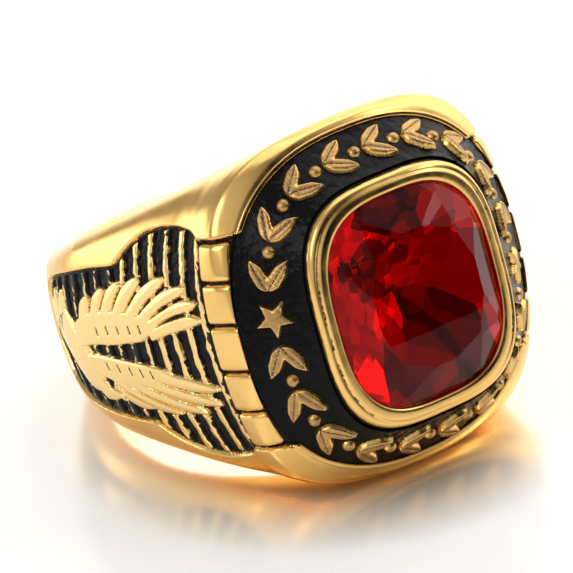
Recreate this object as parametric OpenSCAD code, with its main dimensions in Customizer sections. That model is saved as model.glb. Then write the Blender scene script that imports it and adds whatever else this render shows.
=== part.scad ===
// Class ring: one gold casting that holds a cushion stone in a raised bezel.
// A sunk channel of raised leaves, berries and two stars runs round the bezel, a row of
// five bricks edges it on each side, and a bird spreads its wings in each side panel.
// The finger goes through along the ring's own Z, and the head faces its own -Y.
// The ring lies on its side, tipped forward on the head's lower edge and the band's back.

/* [Finger] */
// Inside diameter of the band
bore_d = 19.4; // [17:0.1:21]
// Thickness of the band at its sides and its back, on the centre line
band_t = 1.9; // [1.6:0.1:2.5]

/* [Band] */
// Width of the band at the back of the finger
back_w = 6.6; // [5.6:0.1:8]
// Width of the band half way round
side_w = 11.8; // [11.2:0.1:13]
// Radius of the dome across the band's outer face
dome_r = 16.7; // [15:0.1:24]
// Squareness of the band's edges, where higher is crisper
edge_square = 14; // [10:1:20]

/* [Head] */
// Width of the channel's rim, across the finger
face_w = 18.26; // [17.8:0.02:19]
// Length of the channel's rim, along the finger
face_l = 18.6; // [18:0.1:19.2]
// Greatest length of the head, along the finger
head_l = 19.6; // [19.3:0.1:20.6]
// Height of the rim's highest level above the bore
face_rise = 4; // [3.4:0.1:5]
// Squareness of the rim's outline
face_square = 2.43; // [2.3:0.01:2.6]

/* [Stone and bezel] */
// Width of the stone, across the finger
stone_w = 10.7; // [10:0.1:11]
// Length of the stone, along the finger
stone_l = 12; // [11.4:0.1:12.4]
// Squareness of the stone's outline
stone_square = 2.93; // [2.6:0.01:3.1]
// Height of the stone's crown above its girdle
crown_h = 1.5; // [1.2:0.1:1.8]
// Thickness of the girdle
girdle_t = 0.4; // [0.3:0.05:0.6]
// Depth of the pavilion below the girdle
pavilion_h = 3.4; // [2.8:0.1:3.8]
// Width of the table as a share of the stone
table_share = 0.62; // [0.55:0.01:0.66]
// How far the bezel's lip reaches in over the stone
bezel_lip = 0.3; // [0.2:0.05:0.4]
// Width of the bezel's rim
bezel_w = 0.9; // [0.75:0.05:1.05]
// Height of the bezel above the channel's floor
bezel_h = 0.85; // [0.75:0.05:1.1]
// Clearance between the stone and its seat
seat_gap = 0.05; // [0.03:0.01:0.08]

/* [Channel] */
// Height of the channel's inner edge above the rim's highest level
cone_rise = 1.8; // [1.5:0.1:2.1]
// Depth of the channel below its rim
channel_d = 0.35; // [0.25:0.05:0.45]
// Width of the plain lip round the channel
lip_w = 0.28; // [0.22:0.02:0.36]
// Height of the leaves, berries and stars above the floor
motif_h = 0.45; // [0.35:0.05:0.5]
// Number of leaf sprays from star to star
sprays = 9; // [7:1:9]
// Length of a leaf
leaf_l = 1.9; // [1.6:0.05:2]
// Width of a leaf
leaf_w = 0.76; // [0.6:0.02:0.84]
// Diameter of a berry
berry_d = 0.7; // [0.5:0.02:0.8]
// Radius of a star's points
star_r = 1.05; // [0.9:0.05:1.2]
// How far the stars sit from the middle of each side, along the channel
star_shift = 1.25; // [0:0.05:2]

/* [Side panel] */
// Depth of the side panels and of the joints between the bricks
panel_d = 0.5; // [0.4:0.05:0.6]
// Length of a side panel, from the bricks towards the back
panel_l = 16.5; // [15:0.1:17]
// Greatest height of a side panel, along the finger
panel_w = 13.1; // [12.6:0.1:13.4]
// Width of the row of bricks, between the channel and the panel
brick_w = 2.1; // [1.9:0.05:2.4]
// Length of the row of bricks
brick_row = 11.6; // [11.2:0.1:12]
// Width of the joints between the bricks
joint_w = 0.24; // [0.18:0.02:0.3]
// Width of a rib
rib_w = 0.42; // [0.34:0.02:0.5]
// Spacing of the ribs
rib_pitch = 1.2; // [1.1:0.05:1.4]
// How far the ribs lie below the band's outer face
rib_low = 0.22; // [0.16:0.01:0.26]
// Width of a wing feather at its tip
feather_w = 0.72; // [0.6:0.02:0.8]
// How far the bird lies below the band's outer face
bird_low = 0.06; // [0.04:0.01:0.1]

/* [Enamel] */
// Thickness of the black enamel
enamel_t = 0.14; // [0.1:0.01:0.14]
// Clearance round the enamel
enamel_gap = 0.03; // [0.02:0.01:0.04]

/* [Hidden] */

bore_r = bore_d / 2;
band_r = bore_r + band_t;
dome = 1 / (2 * dome_r);
rim_y = bore_r + face_rise;
floor_y = rim_y + cone_rise;

// Radii by which the rim bows back towards its sides and towards its ends
rim_side_r = 62.5;
rim_end_r = 100;
side_rim_y = rim_y - pow(face_w / 2, 2) / (2 * rim_side_r);
// How fast the sides pull in from the band to the rim, and the band narrows to its back
side_bow = 1.6;
// How much the lip's inner wall leans in at its foot, and its edge lies under its rim
wall_lean = 0.06;
lip_fall = 0.02;
face_in_w = face_w / 2 - lip_w;
face_in_l = face_l / 2 - lip_w;

open_w = stone_w / 2 - bezel_lip;
open_l = stone_l / 2 - bezel_lip;
bezel_out_w = open_w + bezel_w;
bezel_out_l = open_l + bezel_w;
// The bezel's outline, its wall's lean and the fall of its rim outwards
bezel_square = 3.2;
bezel_lean = 0.1;
rim_fall = 0.3;
// Between its opening and its outer edge: share of the rim's width, share of its fall
BEZEL_RIM = [[0.25, 0], [0.75, 0.4]];
foot_w = bezel_out_w + bezel_lean;
foot_l = bezel_out_l + bezel_lean;
lip_y = floor_y + bezel_h;
// The lip is thin at its edge and thicker over the girdle
lip_edge = 0.1;
lip_root = 0.45;
girdle_y = lip_y - lip_root;
girdle_low_y = girdle_y - girdle_t;
// The seat is a ledge with a pit inside it for the pavilion
ledge_w = 0.5;
ledge_fall = 0.25;
pit_gap = 0.1;
pit_share = 0.25;

panel_y = side_rim_y - brick_w;
// The ribs stop short of the panel's edge and of the bird, so the enamel runs round them
rib_clear = 0.2;
// The blocks under the sides start at this share of the bore, and what cuts them past that
block_share = 0.6;
prism_gap = 0.2;
block_x = bore_r * block_share;
prism_x = block_x + prism_gap;
// The stars' place as a share of the table's half width, their slope, and how much steeper
// than the mains the facets next to the girdle are, above it and below it
star_share = 0.94;
star_slope = 24;
girdle_turn = 6;
low_turn = 2.5;
// Facets in the stone's rows of mains, and the share of the pavilion above the culet
mains = 8;
culet_share = 0.97;
// Length that is certain to pass through what it cuts, and height above the channel's floor
through = 30;
cut_h = 3;
// Sides of the round shapes, and points of a star
bore_sides = 96;
berry_sides = 6;
star_points = 5;
// A length too small to matter, and an angle's sine too small for the dome's curve
tiny = 0.00001;
side_sine = 0.001;

// Rings of the front: share of the way from the sides to the rim, share of the growth in
// length from the sides to the head, share of the roll in to the rim, corner squareness
// as a share of the band's, dome as a share of the band's
FRONT = [
    [0.985, 1.000, 0.50, 0.18, 0.00],
    [0.965, 1.000, 0.18, 0.20, 0.05],
    [0.940, 1.000, 0.02, 0.23, 0.10],
    [0.900, 0.970, 0.00, 0.30, 0.35],
    [0.840, 0.890, 0.00, 0.42, 0.65],
    [0.770, 0.790, 0.00, 0.58, 0.90],
    [0.680, 0.675, 0.00, 0.76, 1.00],
    [0.570, 0.550, 0.00, 0.90, 1.00],
    [0.440, 0.415, 0.00, 1.00, 1.00],
    [0.250, 0.233, 0.00, 1.00, 1.00],
    [0.000, 0.000, 0.00, 1.00, 1.00]
];
// Turns of the back's rings past the sides, before the line that closes it
BACK = [12, 24, 36, 48, 60, 71, 81];
// The surfaces under the panels and their relief have lines at these shares of the way
// to the rim, at these turns past the sides, and at these shares of the half height
SIDE_FRONT = [0.96, 0.72, 0.48, 0.24, 0];
SIDE_BACK = [18, 36, 46];
SIDE_ACROSS = [-1, -0.5, 0, 0.5, 1];
// Where a quarter of a ring has points: shares of its height as far as its corner, and
// then shares of its width
UP_TO_CORNER = [0, 0.22, 0.44, 0.66, 0.85, 1];
IN_FROM_CORNER = [0.86, 0.6, 0.3];

// Panel outline: share of its length, share of its half height
PANEL = [
    [0.00, 0.89],
    [0.05, 0.965],
    [0.15, 1.00],
    [0.25, 0.97],
    [0.325, 0.885],
    [0.385, 0.78],
    [0.43, 0.69],
    [0.54, 0.665],
    [0.69, 0.61],
    [0.86, 0.52],
    [0.95, 0.38],
    [1.00, 0.12]
];
// Joints between the bricks, as shares of half the row
JOINTS = [0.226, 0.626, 1.0];

// A feather's blunt tip: how far back and how far out, as shares of its width there
FEATHER_TIP = [[0.6, 0.5], [0.1, 0.28]];
// A feather's width at its root, as a share of the one at its tip
root_share = 0.8;
// Wing feathers: root's share of the panel's length and half height, then the tip's
UPPER_WING = [
    [0.640, 0.20, 0.585, 0.42],
    [0.575, 0.22, 0.490, 0.50],
    [0.510, 0.23, 0.400, 0.56],
    [0.445, 0.22, 0.300, 0.60],
    [0.380, 0.20, 0.190, 0.60],
    [0.325, 0.18, 0.095, 0.52],
    [0.290, 0.15, 0.050, 0.39],
    [0.280, 0.11, 0.040, 0.245]
];
LOWER_WING = [
    [0.545, -0.24, 0.440, -0.52],
    [0.480, -0.24, 0.345, -0.57],
    [0.420, -0.24, 0.250, -0.59],
    [0.360, -0.23, 0.160, -0.58],
    [0.310, -0.21, 0.090, -0.53],
    [0.280, -0.18, 0.050, -0.44],
    [0.270, -0.15, 0.045, -0.33]
];
// Outlines of the wings' smooth shoulders, in the same shares
UPPER_SHOULDER = [
    [0.72, 0.16], [0.66, 0.26], [0.58, 0.315], [0.475, 0.345], [0.36, 0.335], [0.25, 0.29],
    [0.215, 0.22], [0.25, 0.14], [0.34, 0.05], [0.48, 0.01], [0.61, 0.00], [0.70, -0.04]
];
LOWER_SHOULDER = [
    [0.69, -0.09], [0.58, -0.08], [0.47, -0.11], [0.36, -0.14], [0.255, -0.18],
    [0.205, -0.25], [0.23, -0.34], [0.34, -0.39], [0.46, -0.38], [0.57, -0.34], [0.66, -0.25]
];
// Tail feathers, from root to tip
TAIL = [
    [0.82, 0.10, 0.775, 0.44],
    [0.84, 0.10, 0.855, 0.42],
    [0.86, 0.10, 0.920, 0.31]
];
// Backbone and neck, from end to end, and the beak's corners
BACKBONE = [0.84, 0.16, 0.66, -0.34];
NECK = [0.68, -0.26, 0.605, -0.47];
BEAK = [[0.625, -0.505], [0.535, -0.495], [0.600, -0.37]];
// Widths of the bird's parts, as shares of a feather's
BODY_FAT = 4.2;
NECK_FAT = 2.0;
TAIL_FAT = 1.35;
// What the bird covers along the panel, where the ribs stop: share of the panel's length,
// then top and bottom of the upper wing and of the lower one as shares of the half height
COVER = [
    [0.025, 0.27, 0.20, -0.28, -0.33],
    [0.098, 0.54, 0.15, -0.20, -0.56],
    [0.170, 0.60, 0.11, -0.15, -0.60],
    [0.243, 0.60, 0.07, -0.11, -0.60],
    [0.316, 0.61, 0.05, -0.14, -0.58],
    [0.388, 0.57, 0.03, -0.13, -0.57],
    [0.461, 0.54, 0.01, -0.10, -0.53],
    [0.534, 0.50, 0.00, -0.08, -0.50],
    [0.607, 0.44, 0.00, 0.00, -0.50],
    [0.679, 0.28, 0.00, 0.00, -0.46],
    [0.752, 0.44, 0.00, 0.00, -0.37],
    [0.825, 0.43, 0.00, 0.00, -0.29],
    [0.898, 0.39, 0.00, 0.00, -0.05]
];

// Leaf outline: share of its length, share of its half width
LEAF = [[0, 0], [0.23, 0.88], [0.66, 0.9], [1, 0]];
// In a spray two leaves part from one root, with a berry ahead of them, both along the way
// by these shares of a leaf's length
ROOT_AT = -0.55;
BERRY_AT = 0.5;
leaf_turn = 33;
// How far a motif's sides go into the metal under the floor
motif_root = 0.4;
star_waist = 0.46;

function mix(a, b, t) = a + (b - a) * t;
function flat(lists) = [for (l = lists) for (v = l) v];
function corner_of(hx, hz, d) = atan2(hz, hx - d * hz * hz);

// The angles of a ring's points, with points at its four corners
function ring_angles(corner) =
    let (quarter = concat([for (share = UP_TO_CORNER) atan(share * tan(corner))],
                          [for (share = IN_FROM_CORNER) atan(tan(corner) / share)]),
         count = len(quarter))
    concat(quarter,
           [90],
           [for (i = [1:count - 1]) 180 - quarter[count - i]],
           [for (a = quarter) 180 + a],
           [270],
           [for (i = [1:count - 1]) 360 - quarter[count - i]]);

// Distance to a section's outline: a domed side and a flat end meet in a soft corner
function side_reach(a, hx, d) =
    let (s = abs(sin(a)), c = abs(cos(a)))
    (s < side_sine || d < tiny) ? hx / max(c, tiny)
        : (sqrt(c * c + 4 * d * hx * s * s) - c) / (2 * d * s * s);
function reach(a, hx, hz, square, d) =
    let (to_side = side_reach(a, hx, d),
         to_end = hz / max(abs(sin(a)), tiny),
         near = min(to_side, to_end))
    near * pow(1 + pow(near / max(to_side, to_end), square), -1 / square);
// Distance to a rounded outline with these half sizes
function round_reach(a, hx, hz, square) =
    pow(pow(abs(cos(a)) / hx, square) + pow(abs(sin(a)) / hz, square), -1 / square);

function rim_level(x, z) = rim_y - x * x / (2 * rim_side_r) - z * z / (2 * rim_end_r);

// A level ring of the head, y above the finger's centre line
function level_ring(hx, hz, square, y) =
    [for (a = ring_angles(atan2(hz, hx)))
        let (r = round_reach(a, hx, hz, square))
        [r * cos(a), -y, r * sin(a)]];
// A ring that follows the bowed rim, sunk below it
function rim_ring(hx, hz, sunk) =
    [for (a = ring_angles(atan2(hz, hx)))
        let (r = round_reach(a, hx, hz, face_square), x = r * cos(a), z = r * sin(a))
        [x, sunk - rim_level(x, z), z]];

function front_x(share) = band_r - (band_r - face_w / 2) * pow(share, side_bow);
function front_ring(row) =
    let (hx = front_x(row[0]),
         hz = mix(side_w, head_l, row[1]) / 2 - row[2] * (head_l - face_l) / 2,
         square = edge_square * row[3],
         d = dome * row[4])
    [for (a = ring_angles(corner_of(hx, hz, d)))
        let (r = reach(a, hx, hz, square, d),
             rim_r = round_reach(a, face_w / 2, face_l / 2, face_square),
             level = rim_level(rim_r * cos(a), rim_r * sin(a)))
        [r * cos(a), -level * row[0], r * sin(a)]];
function back_ring(turn) =
    let (hx = band_r * cos(turn),
         hz = mix(back_w, side_w, pow(1 - sin(turn), side_bow)) / 2,
         d = dome * cos(turn))
    [for (a = ring_angles(corner_of(hx, hz, d)))
        let (r = reach(a, hx, hz, edge_square, d), z = r * sin(a))
        [r * cos(a), (band_r - dome * z * z) * sin(turn), z]];
FRONT_RINGS = [for (row = FRONT) front_ring(row)];
BACK_RINGS = [for (turn = BACK) back_ring(turn)];
// The back's two halves meet in a line across the band, drawn as a square pressed flat
square_corner = 45;
CLOSING = [for (a = ring_angles(square_corner))
    let (z = back_w / 2 * sin(a) / max(abs(sin(a)), abs(cos(a))))
    [0, band_r - dome * z * z, z]];

// The head's rings, from the bottom of the stone's pit out to the rim
function head_rings() =
    let (seat_w = stone_w / 2 + seat_gap,
         seat_l = stone_l / 2 + seat_gap,
         pit_y = girdle_low_y - pavilion_h - pit_gap)
    [level_ring(stone_w / 2 * pit_share, stone_l / 2 * pit_share, stone_square, pit_y),
     level_ring(seat_w - ledge_w, seat_l - ledge_w, stone_square,
                girdle_low_y - pit_gap - ledge_fall),
     level_ring(seat_w, seat_l, stone_square, girdle_low_y - pit_gap),
     level_ring(seat_w, seat_l, stone_square, girdle_y + seat_gap),
     level_ring(open_w, open_l, stone_square, lip_y - lip_edge),
     for (row = BEZEL_RIM)
         level_ring(mix(open_w, bezel_out_w, row[0]), mix(open_l, bezel_out_l, row[0]),
                    stone_square, lip_y - rim_fall * row[1]),
     level_ring(bezel_out_w, bezel_out_l, bezel_square, lip_y - rim_fall),
     level_ring(foot_w, foot_l, bezel_square, floor_y),
     rim_ring(face_in_w - wall_lean, face_in_l - wall_lean, channel_d),
     rim_ring(face_in_w, face_in_l, lip_fall),
     rim_ring(face_w / 2, face_l / 2, 0)];

// Triangles between two rings of n points, the first one starting at point a and the next
// one at point b of a list
function band(n, a, b) =
    [for (j = [0:n - 1]) let (k = (j + 1) % n)
        each [[a + j, a + k, b + k], [a + j, b + k, b + j]]];
// A solid through rings of equal count that closes on itself
module round_tube(rings) {
    n = len(rings[0]);
    count = len(rings);
    polyhedron(flat(rings), [for (i = [0:count - 1]) each band(n, i * n, (i + 1) % count * n)]);
}
// A solid through rings of equal count: a fan closes the first one, and the last one is
// a line, where both halves meet
module loft(rings) {
    n = len(rings[0]);
    apex = len(rings) * n;
    middle = [for (axis = [0:2]) [for (p = rings[0]) p[axis]] * [for (p = rings[0]) 1] / n];
    walls = [for (i = [0:len(rings) - 2]) each band(n, i * n, (i + 1) * n)];
    fan = [for (j = [0:n - 1]) [apex, (j + 1) % n, j]];
    polyhedron(concat(flat(rings), [middle]), concat(walls, fan));
}

// The whole outer form, filled where the finger goes
module cast_form() {
    loft(concat(head_rings(), FRONT_RINGS, BACK_RINGS, [CLOSING]));
}
// A block under the outer face of both sides, below it by inset
module side_form(inset) {
    line = concat([for (share = SIDE_FRONT) [front_x(share) - inset, -share * side_rim_y]],
                  [for (turn = SIDE_BACK) (band_r - inset) * [cos(turn), sin(turn)]]);
    heights = [for (share = SIDE_ACROSS) share * (panel_w / 2 + lip_w)];
    rows = len(line);
    columns = len(heights);
    count = rows * columns;
    top = [for (p = line) for (z = heights) [p[0] - dome * z * z, p[1], z]];
    base = [for (p = top) [block_x, p[1], p[2]]];
    grid = [for (i = [0:rows - 2]) for (j = [0:columns - 2]) let (a = i * columns + j)
        each [[a, a + 1, a + columns + 1, a + columns],
              [a + count, a + count + columns, a + count + columns + 1, a + count + 1]]];
    ends = [for (i = [0, rows - 1]) for (j = [0:columns - 2])
        let (a = i * columns + j, b = a + 1)
        i == 0 ? [a, a + count, b + count, b] : [b, b + count, a + count, a]];
    edges = [for (j = [0, columns - 1]) for (i = [0:rows - 2])
        let (a = i * columns + j, b = a + columns)
        j == 0 ? [b, b + count, a + count, a] : [a, a + count, b + count, b]];
    for (side = [0, 1])
        mirror([side, 0, 0])
            polyhedron(concat(top, base), concat(grid, ends, edges));
}
// Draws an outline of the head's face, x across and y along the finger, as a prism
module over_face() {
    rotate([90, 0, 0])
        translate([0, 0, bore_r])
            linear_extrude(height = through)
                children();
}
// Draws an outline of a side, x towards the back and y along the finger, as a prism
module over_side(side) {
    mirror([side < 0 ? 1 : 0, 0, 0])
        rotate([90, 0, 90])
            translate([0, 0, prism_x])
                linear_extrude(height = through)
                    children();
}

// Points of a feather with a blunt tip, from two ends and its widths there
function feather(from, to, from_w, to_w) =
    let (along = (to - from) / norm(to - from), across = [-along[1], along[0]],
         one_side = [for (row = FEATHER_TIP) to - to_w * (row[0] * along + row[1] * across)],
         other = [for (row = FEATHER_TIP) to - to_w * (row[0] * along - row[1] * across)])
    [from - across * from_w / 2, one_side[0], one_side[1],
     other[1], other[0], from + across * from_w / 2];
// A place in the side panel from its shares
function place(share) = [share[0] * panel_l - panel_y, share[1] * panel_w / 2];
module quill(row, from_w, to_w) {
    polygon(feather(place([row[0], row[1]]), place([row[2], row[3]]), from_w, to_w));
}

module panel_outline() {
    top = [for (row = PANEL) place([row[0], row[0] == 0 ? brick_row / panel_w : row[1]])];
    polygon(concat(top, [for (i = [1:len(top)]) let (p = top[len(top) - i]) [p[0], -p[1]]]));
}
module wing_outline(feathers, shoulder) {
    for (row = feathers)
        quill(row, feather_w * root_share, feather_w);
    polygon([for (p = shoulder) place(p)]);
}
module bird_outline() {
    wing_outline(UPPER_WING, UPPER_SHOULDER);
    wing_outline(LOWER_WING, LOWER_SHOULDER);
    for (row = TAIL)
        quill(row, feather_w, feather_w * TAIL_FAT);
    quill(BACKBONE, feather_w * BODY_FAT * root_share, feather_w * BODY_FAT);
    quill(NECK, feather_w * NECK_FAT, feather_w * NECK_FAT);
    polygon([for (p = BEAK) place(p)]);
}
// The spans free for a rib whose edges are at these shares of the panel's length
function free_spans(shares) =
    let (half = min([for (share = shares) lookup(share, PANEL)]),
         middle = (shares[0] + shares[1]) / 2,
         columns = len(COVER[0]) - 1,
         limits = [for (i = [1:columns]) lookup(middle, [for (row = COVER) [row[0], row[i]]])])
    [[-half, limits[3]], [limits[2], limits[1]], [limits[0], half]] * panel_w / 2;
module rib_outline() {
    count = floor((panel_l - rib_w) / rib_pitch) - 1;
    for (i = [0:count]) {
        start = rib_clear + i * rib_pitch;
        for (span = free_spans([start, start + rib_w] / panel_l)) {
            rib_l = span[1] - span[0] - 2 * rib_clear;
            if (rib_l > rib_w)
                translate([start - panel_y, span[0] + rib_clear])
                    square([rib_w, rib_l]);
        }
    }
}

// The joints between the bricks on one side, from the channel to the panel
module joint_cuts() {
    for (share = JOINTS, end = [-1, 1]) {
        z = end * share * brick_row / 2;
        half = pow(1 - pow(abs(z) / (face_l / 2), face_square), 1 / face_square);
        inner_x = half * face_w / 2 - lip_w - wall_lean;
        translate([inner_x, -rim_y, z - joint_w / 2])
            cube([through, rim_y - panel_y + joint_w, joint_w]);
    }
}

// The middle of the channel's floor, and the way along it
function mid_point(a) =
    let (foot_r = round_reach(a, foot_w, foot_l, bezel_square),
         rim_r = round_reach(a, face_in_w, face_in_l, face_square),
         r = (foot_r + rim_r) / 2,
         rim_at = rim_level(rim_r * cos(a), rim_r * sin(a)) - channel_d)
    [r * cos(a), -(floor_y + rim_at) / 2, r * sin(a)];
WAY_STEP = 3;
WAY = [for (a = 0, s = 0; a <= 360; s = s + norm(mid_point(a + WAY_STEP) - mid_point(a)),
            a = a + WAY_STEP) [s, a]];
way_l = WAY[len(WAY) - 1][0];
function way_angle(s) = lookup(s < 0 ? s + way_l : s > way_l ? s - way_l : s, WAY);
// The angle of a motif's place, counted along the way from the first star
function motif_angle(i) = way_angle(way_l / 2 - star_shift + i * way_l / (2 * (sprays + 1)));
// Stands what is drawn on the floor there: x along the way, y down the slope
module on_floor(i) {
    a = motif_angle(i);
    foot_r = round_reach(a, foot_w, foot_l, bezel_square);
    ahead = mid_point(a + 1) - mid_point(a - 1);
    along = ahead / norm(ahead);
    fall = mid_point(a) - [foot_r * cos(a), -floor_y, foot_r * sin(a)];
    out = cross(fall, along);
    up = out / norm(out);
    down = cross(up, along);
    p = mid_point(a);
    multmatrix([for (axis = [0:2]) [along[axis], down[axis], up[axis], p[axis]]])
        mirror([i > sprays ? 1 : 0, 0, 0])
            children();
}
module leaf_outline() {
    upper = [for (row = LEAF) [row[0] * leaf_l, row[1] * leaf_w / 2]];
    lower = [for (i = [len(LEAF) - 2:-1:1]) [upper[i][0], -upper[i][1]]];
    polygon(concat(upper, lower));
}
module spray_outline() {
    for (end = [-1, 1])
        translate([ROOT_AT * leaf_l, 0])
            rotate(end * leaf_turn)
                leaf_outline();
    translate([BERRY_AT * leaf_l, 0])
        circle(d = berry_d, $fn = berry_sides);
}
module star_outline() {
    polygon([for (k = [0:2 * star_points - 1])
        let (r = star_r * (k % 2 == 0 ? 1 : star_waist), a = 180 / star_points * k)
        [r * cos(a), r * sin(a)]]);
}
// The raised motifs of the channel, grown sideways by spare
module motifs(height, spare) {
    for (i = [0:2 * sprays + 1])
        on_floor(i)
            translate([0, 0, -motif_root])
                linear_extrude(height = height + motif_root)
                    offset(delta = spare)
                        if (i % (sprays + 1) == 0)
                            star_outline();
                        else
                            spray_outline();
}

// The angle at which the ring lies still: the head's edge and the band's back both touch
SUPPORT_FRONT = flat(FRONT_RINGS);
SUPPORT_BACK = concat(flat(BACK_RINGS), CLOSING);
function lowest(points, tilt) = min([for (p = points) p[2] * cos(tilt) - p[1] * sin(tilt)]);
function rest_tilt(low, high, steps) =
    let (mid = (low + high) / 2)
    steps == 0 ? mid
        : lowest(SUPPORT_FRONT, mid) < lowest(SUPPORT_BACK, mid)
            ? rest_tilt(mid, high, steps - 1) : rest_tilt(low, mid, steps - 1);
// Least and greatest tilt it can be, and how often the span between them is halved
TILTS = [5, 30];
tilt_steps = 24;
tilt = rest_tilt(TILTS[0], TILTS[1], tilt_steps);
lift = -lowest(SUPPORT_FRONT, tilt);
// The table's lower edge is the furthest forward, and the band's upper edge furthest back
table_front = -(girdle_y + crown_h) * cos(tilt) - table_share * stone_l / 2 * sin(tilt);
back_end = max([for (p = SUPPORT_BACK) p[1] * cos(tilt) + p[2] * sin(tilt)]);

// Lays the ring down, with the origin under the middle of its box
module at_rest() {
    translate([0, -(table_front + back_end) / 2, lift])
        rotate([-tilt, 0, 0])
            children();
}

module ring_body() {
    color("goldenrod")
        at_rest()
            difference() {
                resize([0, 0, 0])
                    union() {
                        difference() {
                            cast_form();
                            difference() {
                                for (side = [-1, 1]) {
                                    over_side(side)
                                        panel_outline();
                                    mirror([side < 0 ? 1 : 0, 0, 0])
                                        joint_cuts();
                                }
                                side_form(panel_d);
                            }
                        }
                        intersection() {
                            side_form(bird_low);
                            for (side = [-1, 1])
                                over_side(side)
                                    bird_outline();
                        }
                        intersection() {
                            side_form(rib_low);
                            for (side = [-1, 1])
                                over_side(side)
                                    rib_outline();
                        }
                        motifs(motif_h, 0);
                    }
                cylinder(r = bore_r, h = through * 2, center = true, $fn = bore_sides);
            }
}

// The stone's reach from its middle to the flat that touches it at an angle
function support(a) =
    let (q = stone_square / (stone_square - 1))
    pow(pow(stone_w / 2 * abs(cos(a)), q) + pow(stone_l / 2 * abs(sin(a)), q), 1 / q);
function crown_slope(a) = atan(crown_h / (support(a) * (1 - table_share)));
function pavilion_slope(a) = atan(pavilion_h / support(a));
// Turns of count facets round the stone, shifted by a share of the step between them
function turns(count, shift) = [for (i = [0:count - 1]) (i + shift) * 360 / count];
// Takes off all that lies above a facet's plane
module facet(a, out, level, slope) {
    size = 2 * stone_l;
    rotate(a)
        translate([out, 0, level])
            rotate([0, slope, 0])
                translate([-size / 2, -size / 2, 0])
                    cube(size);
}
// A cushion cut: a table with mains, stars and girdle facets, and as many rows below
module stone() {
    top = girdle_t + crown_h;
    outline = level_ring(stone_w / 2, stone_l / 2, stone_square, 0);
    color("crimson")
        at_rest()
            resize([0, 0, 0])
                rotate([90, 0, 0])
                    translate([0, 0, girdle_low_y])
                        difference() {
                            translate([0, 0, -pavilion_h * culet_share])
                                linear_extrude(height = pavilion_h * culet_share + top)
                                    polygon([for (p = outline) [p[0], p[2]]]);
                            for (a = turns(mains, 0))
                                facet(a, support(a), girdle_t, crown_slope(a));
                            for (a = turns(mains, 0.5))
                                facet(a, support(a) * table_share * star_share, top, star_slope);
                            for (a = turns(2 * mains, 0.5))
                                facet(a, support(a), girdle_t, crown_slope(a) + girdle_turn);
                            for (a = turns(mains, 0))
                                mirror([0, 0, 1])
                                    facet(a, support(a), 0, pavilion_slope(a));
                            for (a = turns(2 * mains, 0.5))
                                mirror([0, 0, 1])
                                    facet(a, support(a), 0, pavilion_slope(a) + low_turn);
                        }
}

// Black enamel on the channel's floor, round the leaves, berries and stars
module channel_enamel() {
    out_w = face_in_w - wall_lean - enamel_gap;
    out_l = face_in_l - wall_lean - enamel_gap;
    color("black")
        at_rest()
            resize([0, 0, 0])
                difference() {
                    round_tube([
                        for (rise = [enamel_gap, enamel_gap + enamel_t])
                            level_ring(foot_w + enamel_gap, foot_l + enamel_gap, bezel_square,
                                       floor_y + rise),
                        for (rise = [enamel_gap + enamel_t, enamel_gap])
                            rim_ring(out_w, out_l, channel_d - rise)
                    ]);
                    motifs(cut_h, enamel_gap);
                }
}

// Black enamel on the floor of a side panel, round its ribs and its bird
module panel_enamel(side) {
    color("black")
        at_rest()
            resize([0, 0, 0])
                intersection() {
                    difference() {
                        side_form(panel_d - enamel_gap - enamel_t);
                        side_form(panel_d - enamel_gap);
                    }
                    over_side(side)
                        difference() {
                            offset(delta = -enamel_gap)
                                panel_outline();
                            offset(delta = enamel_gap)
                                union() {
                                    bird_outline();
                                    rib_outline();
                                }
                        }
                }
}
module left_enamel() {
    panel_enamel(-1);
}
module right_enamel() {
    panel_enamel(1);
}

ring_body();
stone();
channel_enamel();
left_enamel();
right_enamel();
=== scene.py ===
# Class ring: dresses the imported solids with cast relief, black enamel and a cut stone.
import logging
import math
from dataclasses import dataclass, field
from enum import Enum
from typing import Iterable, Sequence

import bmesh
import bpy
import numpy as np
from mathutils import Matrix, Vector


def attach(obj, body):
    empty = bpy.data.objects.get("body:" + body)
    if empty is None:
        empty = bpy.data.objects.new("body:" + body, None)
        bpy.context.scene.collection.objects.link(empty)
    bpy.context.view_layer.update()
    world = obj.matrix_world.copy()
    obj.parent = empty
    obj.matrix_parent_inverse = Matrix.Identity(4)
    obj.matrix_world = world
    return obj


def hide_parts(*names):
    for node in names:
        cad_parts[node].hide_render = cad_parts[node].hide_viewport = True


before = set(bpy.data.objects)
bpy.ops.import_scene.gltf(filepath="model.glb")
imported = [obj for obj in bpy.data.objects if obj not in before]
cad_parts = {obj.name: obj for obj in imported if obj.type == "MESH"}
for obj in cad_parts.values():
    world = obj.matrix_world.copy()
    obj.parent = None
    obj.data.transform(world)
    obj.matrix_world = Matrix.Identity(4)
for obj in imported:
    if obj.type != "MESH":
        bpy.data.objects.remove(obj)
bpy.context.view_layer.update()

LOG = logging.getLogger("class_ring")
MM = 0.001
COL = (slice(None), None)
Array = np.ndarray


def smooth_step(low: float, high: float, x: Array) -> Array:
    """Eases from 0 at low to 1 at high.

    Args:
        low: value of x where the result is 0.
        high: value of x where the result is 1. It may be below low.
        x: numbers to ease.

    Returns:
        The eased numbers, from 0 to 1.
    """
    t = np.clip((x - low) / (high - low), 0.0, 1.0)
    return t * t * (3.0 - 2.0 * t)


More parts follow.
